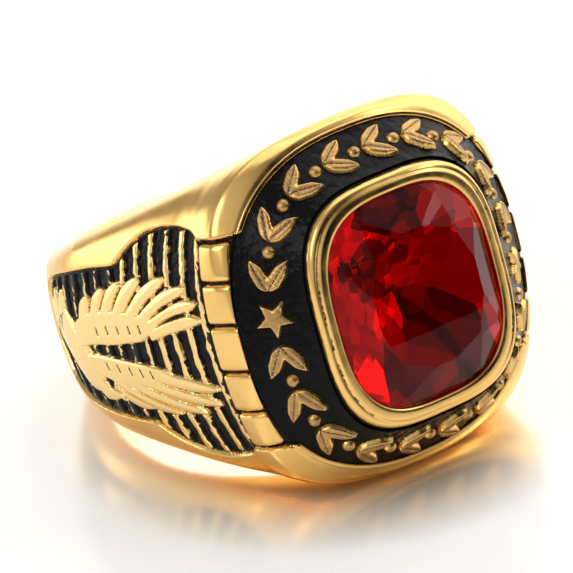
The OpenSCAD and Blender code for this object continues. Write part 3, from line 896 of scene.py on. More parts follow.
    def bricks(self, y: Array, z: Array) -> tuple[Array, Array]:
        """Shapes the row of bricks, and the line that ends it above and below.

        Args:
            y: places along the side.
            z: places up the side.

        Returns:
            Height below the side's face, and grime in the joints.
        """
        level = self.form.level(self.form.face_w / 2, z)
        half_row = self.brick_row / 2
        stops = np.array([-s for s in self.joints[::-1]] + list(self.joints)) * half_row
        block = np.full(y.shape, 9.0)
        for low, high in zip(stops[:-1], stops[1:]):
            dz = np.abs(z - (low + high) / 2) - ((high - low) - self.joint_w) / 2
            dy = np.abs(y + (level + self.panel_y) / 2) - (level - self.panel_y) / 2
            dz, dy = dz + self.corner_r, dy + self.corner_r
            block = np.minimum(block, np.hypot(np.maximum(dz, 0), np.maximum(dy, 0))
                               + np.minimum(np.maximum(dz, dy), 0) - self.corner_r)
        groove = smooth_step(-0.03, 0.06, block)
        pillow = self.pillow_d * np.clip(1 + block / self.pillow_r, 0, 1) ** 2.4
        outer = np.abs(z) - half_row
        line = smooth_step(self.joint_w / 2 + 0.03, self.joint_w / 2 - 0.03, outer)
        beside = 0.04 * np.clip(1 - (outer - self.joint_w / 2) / 0.2, 0, 1) ** 2
        height = np.where(outer < 0, -pillow - (self.joint_d - self.pillow_d) * groove,
                          -beside - self.joint_d * line)
        return height, np.where(outer < 0, smooth_step(-0.02, 0.05, block), line)

    def depth(self, y: Array, z: Array) -> tuple[Array, Array, Array]:
        """Gives how deep the metal lies below the side's plain face.

        Args:
            y: places along the side.
            z: places up the side.

        Returns:
            Depth in millimetres, how grimy the metal is, and how much paler colour is painted on
            as a highlight, from 0 to 1.
        """
        edge = self.panel_distance(y, z)
        bricks = y < -self.panel_y + 0.02
        height, grime = (np.where(bricks, value, 0.0) for value in self.bricks(y, z))
        rounded = 0.05 * np.clip(1 - edge / 0.16, 0, 1) ** 2
        height = np.where((edge > 0) & ~bricks, height - rounded, height)
        inside = smooth_step(0.03, -0.07, edge)
        bird, bird_grime = self.bird(y, z)
        ribs, rib_grime = self.ribs(y, z, edge, bird)
        relief = np.maximum(bird, ribs)
        panel_grime = np.where(bird >= ribs, bird_grime, rib_grime)
        panel_grime = np.maximum(panel_grime, smooth_step(-0.24, -0.32, relief))
        height = height * (1 - inside) + np.maximum(relief, -self.floor_d) * inside
        grime = np.maximum(grime * (1 - inside), panel_grime * inside)
        # the bird, and the ribs less, get paler colour as a painted highlight
        return -height, grime, np.where(bird >= ribs, 1.0, 0.6) * inside


@dataclass
class PanelEnamel:
    """The black fill of a side panel, a little below its ribs.

    Args:
        casting: the side's grid.
        relief: gives the panel's outline.
        depth: depth of the fill's surface below the side's face.
        step: how many of the side's rows and columns one cell spans.
    """

    casting: Casting
    relief: SideRelief
    depth: float = 0.33
    step: int = 2

    def sheet(self) -> Sheet:
        """Lays the fill's surface under the panel.

        Returns:
            The grid for the ring's +X side.
        """
        ends = self.casting.ends
        base, out = (grid[::self.step, ends:-ends:self.step]
                     for grid in (self.casting.base, self.casting.out))
        y, z = base[..., 1], base[..., 2]
        edge = self.relief.panel_distance(y, z)
        uneven = 0.012 * ripple([y, z], 0.5, 11) + 0.01 * ripple([y, z], 0.2, 12)
        rise = 0.05 * smooth_step(-0.25, 0.0, edge)
        points = base - out * (self.depth - rise + uneven)[..., None]
        inside = edge < 0.1
        keep = inside[:-1, :-1] & inside[1:, :-1] & inside[:-1, 1:] & inside[1:, 1:]
        sheet = Sheet(points, keep=keep)
        sheet.normals = sheet.facing()
        return sheet


@dataclass
class Bore:
    """The polished wall that the finger goes through.

    Args:
        casting: the side whose edges the wall joins.
        steps: columns across the wall.
    """

    casting: Casting
    steps: int = 9

    def sheet(self) -> Sheet:
        """Joins both edges of the bore all the way round.

        Returns:
            The grid, closed on itself.
        """
        p = self.casting.rounded_ends()
        rows = self.casting.rows
        near = np.hypot(p[:, -1, 0], p[:, -1, 1]) < rows.form.bore_r + 1e-3
        edge = p[near, -1]
        ring = np.concatenate([edge, edge[::-1][1:-1] * [-1, 1, 1]])
        share = np.linspace(-1, 1, self.steps)[:, None, None]
        points = np.repeat(ring[None], self.steps, axis=0) * [1, 1, 0]
        points = points + share * ring[None] * [0, 0, 1]
        normals = unit(points * [-1, -1, 0])
        return Sheet(points, normals, closed=True)


@dataclass
class Channel:
    """The sloping channel round the bezel, with its raised sprays, berries and stars."""

    form: RingForm
    floor_y: float = 15.5
    foot_w: float = 6.05
    foot_l: float = 6.7
    foot_square: float = 3.2
    motif_h: float = 0.45
    sprays: int = 9
    leaf_l: float = 1.9
    leaf_w: float = 0.78
    leaf_turn: float = 33.0
    root_at: float = -0.55
    berry_at: float = 0.5
    berry_d: float = 0.72
    star_r: float = 1.05
    star_waist: float = 0.46
    star_shift: float = 1.25
    fill_t: float = 0.17
    # Reach of a motif, dip of a berry's dome, ease of the edges, width of the walls
    motif_reach: float = 1.75
    dome_d: float = 0.16
    ease_d: float = 0.10
    ease_w: float = 0.13
    wall_w: float = 0.09
    columns: int = 1040
    steps: int = 50
    # Half the angle that a motif's way ahead is measured over
    nudge: float = 0.017

    def __post_init__(self) -> None:
        """Spreads the columns evenly along the channel."""
        a = np.linspace(0, 2 * math.pi, 1441)
        mid = self.across(a, np.array([0.5]))[0]
        way = np.concatenate([[0], np.cumsum(np.linalg.norm(np.diff(mid, axis=0), axis=1))])
        self.way_l = float(way[-1])
        self.way, self.turns = way, a
        even = np.arange(self.columns) / self.columns * self.way_l
        self.a = np.interp(even, way, a)

    def across(self, a: Array, share: Array) -> Array:
        """Lays points of the channel's floor.

        Args:
            a: angles round the stone.
            share: share of the way from the bezel's foot to the rim.

        Returns:
            A row of points round the stone for each share.
        """
        form = self.form
        foot_r = form.round_reach(a, self.foot_w, self.foot_l, self.foot_square)
        half_w = form.face_w / 2 - form.lip_w - form.wall_lean
        half_l = form.face_l / 2 - form.lip_w - form.wall_lean
        rim_r = form.round_reach(a, half_w, half_l, form.face_square)
        x, z = rim_r * np.cos(a), rim_r * np.sin(a)
        foot = np.stack([foot_r * np.cos(a), np.full(a.shape, -self.floor_y),
                         foot_r * np.sin(a)], -1)
        rim = np.stack([x, form.channel_d - form.level(x, z), z], -1)
        return foot[None] + (rim - foot)[None] * share[:, None, None]

    def frames(self) -> list[tuple[int, Array, Array, Array]]:
        """Places each motif on the channel's floor.

        Returns:
            Number, middle, way ahead, and way down the slope of each one.
        """
        found, count = [], 2 * (self.sprays + 1)
        for i in range(count):
            s = self.way_l / 2 - self.star_shift + i * self.way_l / count
            a = float(np.interp(s % self.way_l, self.way, self.turns))
            near = self.across(np.array([a - self.nudge, a, a + self.nudge]), np.array([0.0, 0.5]))
            ahead = unit(near[1, 2] - near[1, 0])
            up = unit(np.cross(near[1, 1] - near[0, 1], ahead))
            down = np.cross(up, ahead)
            found.append((i, near[1, 1], ahead if i <= self.sprays else -ahead, down))
        return found

    def leaf(self, u: Array, v: Array) -> tuple[Array, Array]:
        """Measures a pointed leaf that starts at the origin and runs along u.

        Args:
            u: places along the leaf.
            v: places across it.

        Returns:
            Distance outside the leaf, and the depth of its veins.
        """
        t = np.clip(u / self.leaf_l, 0, 1)
        half = self.leaf_w / 2 * curve_through((0, 0.1, 0.3, 0.62, 0.85, 1),
                                               (0.0, 0.55, 0.96, 0.92, 0.5, 0.0), t)
        over = np.maximum(np.abs(v) - half, np.maximum(-u, u - self.leaf_l))
        mid = smooth_step(0.06, 0.015, np.abs(v)) * smooth_step(0.96, 0.85, t)
        slant = np.abs(((u - 0.8 * np.abs(v)) / 0.27) % 1.0 - 0.5) * 0.27
        side = smooth_step(0.045, 0.01, slant) * smooth_step(0.02, 0.1, half - np.abs(v))
        return over, 0.07 * mid + 0.022 * side

    def star(self, u: Array, v: Array) -> Array:
        """Measures to a five-pointed star's outline.

        Args:
            u: places along the channel from the star's middle.
            v: places across it.

        Returns:
            The distances, negative inside.
        """
        k = np.arange(10)
        r = self.star_r * np.where(k % 2 == 0, 1.0, self.star_waist)
        corners = np.stack([r * np.cos(np.radians(36 * k)), r * np.sin(np.radians(36 * k))],
                           -1)
        return polygon_distance(corners, u, v)

    def relief(self, points: Array) -> tuple[Array, Array, Array]:
        """Gives the motifs' height above the floor.

        Args:
            points: points of the channel's floor.

        Returns:
            Height in millimetres, grime, and how flat the top is; flat tops get more roughness and
            painted shade.
        """
        height = np.zeros(points.shape[:-1])
        grime = np.ones(height.shape)
        flat = np.zeros(height.shape)
        turn = math.radians(self.leaf_turn)
        for i, mid, ahead, down in self.frames():
            near = np.linalg.norm(points - mid, axis=-1) < self.motif_reach
            d = points[near] - mid
            u, v = d @ ahead, d @ down
            if i % (self.sprays + 1) == 0:
                shapes = [(self.star(u, v), np.zeros(u.shape), 0.0)]
            else:
                shapes = []
                for end in (-1, 1):
                    du, dv = u - self.root_at * self.leaf_l, v
                    along = du * math.cos(turn) + dv * end * math.sin(turn)
                    aside = -du * end * math.sin(turn) + dv * math.cos(turn)
                    shapes.append((*self.leaf(along, aside), 0.03))
                off = np.hypot(u - self.berry_at * self.leaf_l, v)
                dome = self.dome_d * np.clip(off / (self.berry_d / 2), 0, 1) ** 2
                shapes.append((off - self.berry_d / 2, dome, -0.02))
            best, dirt, top_flat = height[near], grime[near], flat[near]
            for over, dip, extra in shapes:
                eased = self.ease_d * np.clip(1 + over / self.ease_w, 0, 1) ** 2
                own = (self.motif_h + extra - dip - eased) \
                    * (1 - np.clip(over / self.wall_w, 0, 1))
                higher = own > best
                vein = np.clip((dip - 0.03) / 0.03, 0, 1) * (extra > 0)
                dirt = np.where(higher, np.maximum(smooth_step(0.2, 0.12, own), 0.8 * vein),
                                dirt)
                # flat tops are marked for painted shade, and their edges stay bright
                top_flat = np.where(higher, smooth_step(-0.04, -0.12, over), top_flat)
                best = np.maximum(best, own)
            height[near], grime[near], flat[near] = best, dirt, top_flat
        return height, grime, flat

    def floor(self, a: Array, share: Array) -> tuple[Array, Array, list[Array]]:
        """Lays the channel's floor and works out which way is up from it.

        Args:
            a: angles round the stone.
            share: share of the way from the bezel's foot to the rim.

        Returns:
            The points, the ways up, and the points' three coordinates.
        """
        base = self.across(a, share)
        up = Sheet(base, closed=True).facing()
        return base, up * -np.sign(up[..., 1:2]), [base[..., k] for k in range(3)]

    def sheet(self) -> Sheet:
        """Raises the motifs from the channel's floor.

        Returns:
            The grid of metal, closed round the bezel.
        """
        base, up, xyz = self.floor(self.a, np.linspace(-0.02, 1.02, self.steps))
        height, grime, flat = self.relief(base)
        height = height + 0.006 * ripple(xyz, 0.35, 21) * (height > 0.2)
        points = base + up * height[..., None]
        return Sheet(points, closed=True,
                     marks={"grime": grime, "dull_shaded_top": flat}).turn_towards(up)

    def fill(self) -> Sheet:
        """Lays the black fill's surface over the channel's floor.

        Returns:
            The grid of enamel, closed round the bezel.
        """
        share = np.linspace(-0.01, 1.01, 19)
        base, up, xyz = self.floor(self.a[::3], share)
        sides = 0.05 * np.maximum(smooth_step(0.12, 0.0, share),
                                  smooth_step(0.88, 1.0, share))[:, None]
        uneven = 0.014 * ripple(xyz, 0.7, 31) + 0.012 * ripple(xyz, 0.3, 32)
        points = base + up * (self.fill_t + sides + uneven)[..., None]
        return Sheet(points, closed=True).turn_towards(up)


@dataclass
class Bezel:
    """The raised rim that holds the stone: an outer ridge, a groove and a rounded lip.

    Lengths are in millimetres.
    """

    open_w: float = 5.05
    open_l: float = 5.7
    inner_square: float = 2.93
    outer_square: float = 3.2
    # Width over which the squareness changes from the inner one to the outer one
    square_w: float = 0.9
    columns: int = 520
    # Steps between the profile's points, and how often they are smoothed
    finer: int = 3
    smoothings: int = 2
    # Distance out from the lip's edge, height above the finger's centre line
    profile: tuple[tuple[float, float], ...] = (
        (0.30, 15.45), (0.12, 15.90), (0.03, 16.02), (0.0, 16.12), (0.005, 16.19),
        (0.025, 16.25), (0.065, 16.30), (0.12, 16.33), (0.2, 16.348), (0.29, 16.345),
        (0.38, 16.335), (0.46, 16.32), (0.53, 16.295), (0.59, 16.265), (0.64, 16.235),
        (0.68, 16.21), (0.71, 16.19), (0.74, 16.175), (0.78, 16.155), (0.82, 16.125),
        (0.86, 16.08), (0.89, 16.03), (0.915, 15.97), (0.935, 15.90), (0.955, 15.80),
        (0.975, 15.66), (1.0, 15.5), (1.02, 15.38),
    )
    # The groove: place, width and depth, share left at the ends, sideways wander, dirt
    groove_at: float = 0.62
    groove_w: float = 0.085
    groove_d: float = 0.1
    groove_least: float = 0.25
    groove_wander: float = 0.035
    groove_dirt: float = 0.56
    ridge_wander: float = 0.008
    # The groove is cut only above the first height; the lip's top is above the second
    clean_above: float = 16.1
    lip_top: float = 16.3

    def sheet(self) -> Sheet:
        """Sweeps the profile round the stone.

        Returns:
            The grid, closed round the stone.
        """
        t = np.linspace(0, 1, len(self.profile))
        fine = np.linspace(0, 1, self.finer * (len(self.profile) - 1) + 1)
        out = np.interp(fine, t, [p[0] for p in self.profile])
        tall = np.interp(fine, t, [p[1] for p in self.profile])
        for _ in range(self.smoothings):
            out[1:-1] = (out[:-2] + 2 * out[1:-1] + out[2:]) / 4
            tall[1:-1] = (tall[:-2] + 2 * tall[1:-1] + tall[2:]) / 4
        a = np.linspace(0, 2 * math.pi, self.columns, endpoint=False)
        square = self.inner_square + (self.outer_square - self.inner_square) * np.clip(
            out / self.square_w, 0, 1)
        r = RingForm.round_reach(a[None], (self.open_w + out)[:, None],
                                 (self.open_l + out)[:, None], square[:, None])
        x, z = r * np.cos(a), r * np.sin(a)
        seen = self.groove_least + (1 - self.groove_least) * smooth_step(
            0.35, 0.95, np.abs(np.cos(a)))
        at = self.groove_at + self.groove_wander * ripple(
            [2 * np.cos(a), 2 * np.sin(a)], 1.6, 41)
        off = (out[:, None] - at[None]) / self.groove_w
        groove = np.exp(-off ** 2) * seen * (tall > self.clean_above)[:, None]
        wander = self.ridge_wander * ripple([x, z], 3.0, 42) \
            * smooth_step(0.5, 0.62, out)[:, None]
        points = np.stack([x, -(tall[:, None] + wander - self.groove_d * groove), z], -1)
        inner = smooth_step(16.14, 16.0, tall) * (out < 0.3)
        foot = smooth_step(15.78, 15.66, tall)
        dirt = smooth_step(0.45, 1.0, groove + 0.25 * ripple([x, z], 0.7, 43))
        grime = np.maximum(np.maximum(inner, foot)[:, None],
                           self.groove_dirt * dirt)
        sheet = Sheet(points, closed=True, marks={"grime": grime})
        normals = sheet.facing()
        middle = np.argmin(np.abs(out - 0.24) + (tall < self.lip_top) * 9)
        normals *= -np.sign(normals[middle, 0, 1])
        sheet.normals = normals
        return sheet


@dataclass
class Stone:
    """A cushion-cut stone: a table, three rows of crown facets and the pavilion below.

    Lengths are in millimetres, and its own frame has the table up and the girdle at 0.
    """

    wide: float = 10.7
    long: float = 12.0
    square: float = 2.93
    girdle_y: float = 15.5
    girdle_t: float = 0.4
    crown_h: float = 1.5
    pavilion_h: float = 3.4
    table_share: float = 0.62
    star_share: float = 0.94
    star_slope: float = 24.0
    girdle_turn: float = 6.0
    # Pavilion rows: first turn and step in degrees, shares of the reach and the depth
    # that the facets pass through, and how much steeper they are in degrees
    pavilion_rows: tuple[tuple[float, float, float, float, float], ...] = (
        (0.0, 45.0, 1.0, 0.0, 0.0), (11.25, 22.5, 1.0, 0.0, 2.5),
        (22.5, 45.0, 0.52, 0.5, -7.0), (5.625, 22.5, 0.72, 0.3, -3.0),
    )
    # The block that it is cut from: number of sides, bottom and top
    block_sides: int = 96
    block_z: tuple[float, float] = (-4.5, 3.0)
    # Middle of the painted glints on the backing, and how far they spread
    glint_at: tuple[float, float] = (-1.9, 2.0)
    glint_spread: float = 8.0
    # Range of the random factor on each facet's painted light
    facet_lit: tuple[float, float] = (0.1, 1.75)
    seed: int = 5

    @staticmethod
    def lit(x: float, z: float) -> float:
        """Gives the backing's painted light: most at the left, least low in the middle.

        Args:
            x: place across the stone.
            z: place up the stone.

        Returns:
            The brightness.
        """
        left = 1 / (1 + math.exp((x + 1.6) / 0.7))
        right = 1 / (1 + math.exp((3.7 - x) / 0.4))
        low = 1 / (1 + math.exp((z + 2.2) / 0.6))
        return (0.035 + 0.9 * left + 0.35 * right + 0.1 * max(z, 0.0) / 5) * (1 - 0.6 * low)

    def support(self, a: float) -> float:
        """Measures from the middle to the flat that touches the girdle at an angle.

        Args:
            a: the angle in radians.

        Returns:
            The distance.
        """
        q = self.square / (self.square - 1)
        return ((self.wide / 2 * abs(math.cos(a))) ** q
                + (self.long / 2 * abs(math.sin(a))) ** q) ** (1 / q)

    def planes(self) -> list[tuple[Array, float]]:
        """Lists the facets' planes in the order of cutting.

        Returns:
            The way out of each plane and its distance from the middle.
        """
        found: list[tuple[Array, float]] = []

        def facet(turn: float, reach: float, level: float, slope: float, down: bool) -> None:
            """Adds one plane.

            Args:
                turn: its direction round the stone, in degrees.
                reach: how far out it passes through the level.
                level: height of the place that it passes through.
                slope: its slope in degrees.
                down: True for a facet of the pavilion.
            """
            a, s = math.radians(turn), math.radians(slope)
            side = -1.0 if down else 1.0
            way = np.array([math.cos(a) * math.sin(s), math.sin(a) * math.sin(s),
                            side * math.cos(s)])
            at = np.array([math.cos(a) * reach, math.sin(a) * reach, level])
            found.append((way, float(way @ at)))

        def slope_to(turn: float, tall: float, share: float) -> tuple[float, float]:
            """Gives the reach at a turn, and the slope over a share of it, in degrees."""
            reach = self.support(math.radians(turn))
            return reach, math.degrees(math.atan(tall / (reach * share)))

        top, outer = self.girdle_t + self.crown_h, 1 - self.table_share
        found.append((np.array([0.0, 0.0, 1.0]), top))
        for turn in np.arange(0, 360, 45.0):
            reach, rise = slope_to(turn, self.crown_h, outer)
            facet(turn, reach, self.girdle_t, rise, False)
            reach = self.support(math.radians(turn + 22.5))
            facet(turn + 22.5, reach * self.table_share * self.star_share, top,
                  self.star_slope, False)
        for turn in np.arange(11.25, 360, 22.5):
            reach, rise = slope_to(turn, self.crown_h, outer)
            facet(turn, reach, self.girdle_t, rise + self.girdle_turn, False)
        for first, step, share, deep, steeper in self.pavilion_rows:
            for turn in np.arange(first, 360, step):
                reach, fall = slope_to(turn, self.pavilion_h, 1.0)
                facet(turn, reach * share, -self.pavilion_h * deep, fall + steeper, True)
        return found

    def build(self, name: str) -> bpy.types.Object:
        """Cuts the stone from a block, facet by facet.

        Args:
            name: the piece's name.

        Returns:
            The new object, with the pavilion's facets in its second material slot.
        """
        made = bmesh.new()
        count, (bottom, top) = self.block_sides, self.block_z
        a = np.arange(count) / count * 2 * math.pi
        r = RingForm.round_reach(a, self.wide / 2, self.long / 2, self.square)
        low = [made.verts.new((x, y, bottom)) for x, y in zip(r * np.cos(a), r * np.sin(a))]
        high = [made.verts.new((v.co.x, v.co.y, top)) for v in low]
        made.faces.new(low[::-1])
        made.faces.new(high)
        for k in range(count):
            made.faces.new((low[k], low[(k + 1) % count], high[(k + 1) % count], high[k]))
        for way, far in self.planes():
            cut = bmesh.ops.bisect_plane(
                made, geom=made.verts[:] + made.edges[:] + made.faces[:],
                plane_co=tuple(way * far), plane_no=tuple(way), clear_outer=True, dist=1e-6)
            edges = [e for e in cut["geom_cut"] if isinstance(e, bmesh.types.BMEdge)]
            if edges:
                bmesh.ops.edgeloop_fill(made, edges=edges)
        bmesh.ops.remove_doubles(made, verts=made.verts[:], dist=1e-5)
        bmesh.ops.recalc_face_normals(made, faces=made.faces[:])
        mesh = bpy.data.meshes.new(name)
        rng = np.random.default_rng(self.seed)
        lit, painted_glint = [], []
        for face in made.faces:
            face.material_index = 1 if face.normal.z < -0.05 else 0
            middle = face.calc_center_median()
            # each pavilion facet carries painted light, brightest at the left, times a random
            # factor
            lit.append(self.lit(middle.x, middle.y) * rng.uniform(*self.facet_lit))
            # strength of the painted glints, falling off from one spot
            away = (middle.x - self.glint_at[0]) ** 2 + (middle.y - self.glint_at[1]) ** 2
            painted_glint.append(math.exp(-away / self.glint_spread))
        made.to_mesh(mesh)
        made.free()
        for label, values in (("lit", lit), ("painted_glint", painted_glint)):
            mesh.attributes.new(label, "FLOAT", "FACE").data.foreach_set(
                "value", np.array(values, np.float32))
        co = np.zeros(len(mesh.vertices) * 3, np.float32)
        mesh.vertices.foreach_get("co", co)
        co = co.reshape(-1, 3).astype(float)
        own = np.stack([co[:, 0], -(co[:, 2] + self.girdle_y), co[:, 1]], -1)
        mesh.vertices.foreach_set("co", REST.placed(own).astype(np.float32).ravel())
        mesh.update()
        if self.inside_out(mesh):
            mesh.flip_normals()
        piece = bpy.data.objects.new(name, mesh)
        bpy.context.scene.collection.objects.link(piece)
        return piece

    @staticmethod
    def inside_out(mesh: bpy.types.Mesh) -> bool:
        """Tells whether the faces look inwards."""
        middle = sum((v.co for v in mesh.vertices), Vector()) / len(mesh.vertices)
        return sum((p.center - middle).dot(p.normal) * p.area for p in mesh.polygons) < 0


class Nodes:
    """Short ways to lay and join a material's nodes."""

    def __init__(self, name: str) -> None:
        """Starts a material with one Principled shader.

        Args:
            name: the material's name.
        """
        self.material = bpy.data.materials.new(name)
        self.material.use_nodes = True
        self.tree = self.material.node_tree
        self.shader = self.tree.nodes["Principled BSDF"]
        self.place = self.add("ShaderNodeTexCoord").outputs["Object"]

    def add(self, kind: str, **values: object) -> bpy.types.Node:
        """Adds a node and sets its sockets or properties.

        Args:
            kind: the node's type.
            values: socket names with _ for spaces, or properties.

        Returns:
            The new node.
        """
        node = self.tree.nodes.new(kind)
        for key, value in values.items():
            if hasattr(node, key):
                setattr(node, key, value)
            else:
                node.inputs[key.replace("_", " ")].default_value = value
        return node

    def join(self, source: bpy.types.NodeSocket, target: bpy.types.NodeSocket) -> None:
        """Links one socket to another."""
        self.tree.links.new(source, target)

    def mark(self, name: str) -> bpy.types.NodeSocket:
        """Reads the named numbers that the piece carries."""
        return self.add("ShaderNodeAttribute", attribute_name=name).outputs["Fac"]

    def noise(self, scale: float, detail: float = 3.0, rough: float = 0.55,
              stretch: tuple[float, float, float] = (1, 1, 1)) -> bpy.types.NodeSocket:
        """Lays noise over the object.

        Args:
            scale: how fine it is, in waves per metre.
            detail: how many finer layers it has.
            rough: how strong the finer layers are.
            stretch: scale along each axis.

        Returns:
            The noise's value.
        """
        made = self.add("ShaderNodeTexNoise", Scale=scale, Detail=detail, Roughness=rough)
        spread = self.add("ShaderNodeMapping", Scale=stretch)
        self.join(self.place, spread.inputs["Vector"])
        self.join(spread.outputs["Vector"], made.inputs["Vector"])
        return made.outputs["Fac"]

    def ramp(self, source: bpy.types.NodeSocket, low: float, high: float,
             to_low: float = 0.0, to_high: float = 1.0) -> bpy.types.NodeSocket:
        """Maps a range of one value to another, held at both ends.

        Args:
            source: the value.
            low: the value that becomes to_low.
            high: the value that becomes to_high.
            to_low: result at the low end.
            to_high: result at the high end.

        Returns:
            The mapped value.
        """
        made = self.add("ShaderNodeMapRange", From_Min=low, From_Max=high, To_Min=to_low,
                        To_Max=to_high)
        self.join(source, made.inputs["Value"])
        return made.outputs["Result"]

    def math(self, how: str, a: bpy.types.NodeSocket,
             b: bpy.types.NodeSocket | float) -> bpy.types.NodeSocket:
        """Combines two values.

        Args:
            how: the operation's name.
            a: the first value.
            b: the second value, a socket or a number.

        Returns:
            The result.
        """
        made = self.add("ShaderNodeMath", operation=how)
        self.join(a, made.inputs[0])
        if isinstance(b, float):
            made.inputs[1].default_value = b
        else:
            self.join(b, made.inputs[1])
        return made.outputs["Value"]

    def mix(self, share: bpy.types.NodeSocket, a: object, b: object) -> bpy.types.NodeSocket:
        """Mixes two colours.

        Args:
            share: how much of the second colour there is.
            a: the first colour, a socket or a tuple.
            b: the second colour, a socket or a tuple.

        Returns:
            The mixed colour.
        """
        made = self.add("ShaderNodeMix", data_type="RGBA")
        self.join(share, made.inputs[0])
        for given, target in ((a, made.inputs[6]), (b, made.inputs[7])):
            if isinstance(given, bpy.types.NodeSocket):
                self.join(given, target)
            else:
                target.default_value = (*given, 1.0)
        return made.outputs[2]

    def bump(self, source: bpy.types.NodeSocket, deep: float,
             under: bpy.types.NodeSocket | None = None) -> bpy.types.NodeSocket:
        """Turns a value into fine relief.

        Args:
            source: the value.
            deep: the relief's depth in metres.
            under: relief that it lies on, or None.

        Returns:
            The bent normal.
        """
        made = self.add("ShaderNodeBump", Distance=deep, Strength=1.0)
        self.join(source, made.inputs["Height"])
        if under is not None:
            self.join(under, made.inputs["Normal"])
        return made.outputs["Normal"]


@dataclass(frozen=True)
class GoldFinish:
    """Cast gold, polished on top and black in its grooves.

    Args:
        name: the material's name.
        bright: colour where it is polished.
        deep: colour where it is a little tarnished.
        black: colour of the grime.
        rough: roughness of the polish.
        dull_shaded_top: True where flat tops are rougher and painted browner than their edges, as
            painted shade.
        grime: True where grooves are black.
        painted_highlight: paler colour painted on the raised relief as a highlight, or None.
    """

    name: str
    bright: tuple[float, float, float] = (0.95, 0.61, 0.21)
    deep: tuple[float, float, float] = (0.86, 0.51, 0.15)
    black: tuple[float, float, float] = (0.012, 0.010, 0.010)
    rough: float = 0.2
    dull_shaded_top: bool = False
    grime: bool = True
    painted_highlight: tuple[float, float, float] | None = None

    def material(self) -> bpy.types.Material:
        """Builds the material.

        Returns:
            The finished material.
        """
        n = Nodes(self.name)
        tone = n.ramp(n.noise(260, 4, 0.6), 0.35, 0.7)
        colour = n.mix(tone, self.bright, self.deep)
        rough = n.ramp(n.noise(900, 3, 0.6), 0.3, 0.75, self.rough * 0.8, self.rough * 1.5)
        if self.dull_shaded_top:
            # flat tops: uneven brown painted shade, and more roughness
            flat = n.mark("dull_shaded_top")
            uneven_top_shade = n.ramp(n.noise(1500, 4, 0.65), 0.3, 0.7, 0.55, 1.0)
            colour = n.mix(n.math("MULTIPLY", flat, uneven_top_shade), colour, (0.40, 0.235, 0.10))
            rough = n.math("ADD", rough, n.math("MULTIPLY", flat, 0.14))
        # paler colour on the raised relief: a painted highlight
        if self.painted_highlight is not None:
            raised = n.mark("painted_highlight")
            colour = n.mix(raised, colour, self.painted_highlight)
        if self.grime:
            dirt = n.mark("grime")
            speck = n.ramp(n.noise(6500, 3, 0.7), 0.32, 0.68, -0.22, 0.22)
            dirt = n.ramp(n.math("ADD", dirt, speck), 0.42, 0.62)
            colour = n.mix(dirt, colour, self.black)
            rough = n.math("ADD", rough, n.math("MULTIPLY", dirt, 0.12))
            metal = n.ramp(dirt, 0.0, 1.0, 1.0, 0.0)
            n.join(metal, n.shader.inputs["Metallic"])
        else:
            n.shader.inputs["Metallic"].default_value = 1.0
        n.shader.inputs["Specular IOR Level"].default_value = 0.28
        n.join(colour, n.shader.inputs["Base Color"])
        n.join(rough, n.shader.inputs["Roughness"])
        swell = n.bump(n.noise(420, 2, 0.5), 0.00002)
        hairs = n.bump(n.noise(5200, 2, 0.6, (1, 1, 0.12)), 0.0000012, swell)
        n.join(hairs, n.shader.inputs["Normal"])
        return n.material


@dataclass(frozen=True)
class EnamelFinish:
    """Glossy black fill, uneven and flecked with a little metal dust.

    Args:
        name: the material's name.
        colour: the fill's colour.
        dust: share of the noise's range below which no fine pale dust shows.
        rough: roughness of its gloss.
        bumpy: depth of its unevenness in metres.
    """

    name: str
    colour: tuple[float, float, float] = (0.003, 0.0028, 0.003)
    dust: float = 0.68
    rough: float = 0.2
    bumpy: float = 0.00006

    def material(self) -> bpy.types.Material:
        """Builds the material.

        Returns:
            The finished material.
        """
        n = Nodes(self.name)
        fleck = n.ramp(n.noise(7000, 3, 0.7), self.dust, self.dust + 0.08)
        colour = n.mix(fleck, self.colour, (0.12, 0.10, 0.09))
        n.join(colour, n.shader.inputs["Base Color"])
        rough = n.ramp(n.noise(3000, 3, 0.6), 0.3, 0.7, self.rough * 0.6, self.rough * 1.7)
        n.join(rough, n.shader.inputs["Roughness"])
        n.shader.inputs["Specular IOR Level"].default_value = 0.11
        coarse = n.bump(n.noise(1400, 3, 0.6), self.bumpy)
        fine = n.bump(n.noise(4800, 3, 0.65), self.bumpy * 0.35, coarse)
        n.join(fine, n.shader.inputs["Normal"])
        return n.material


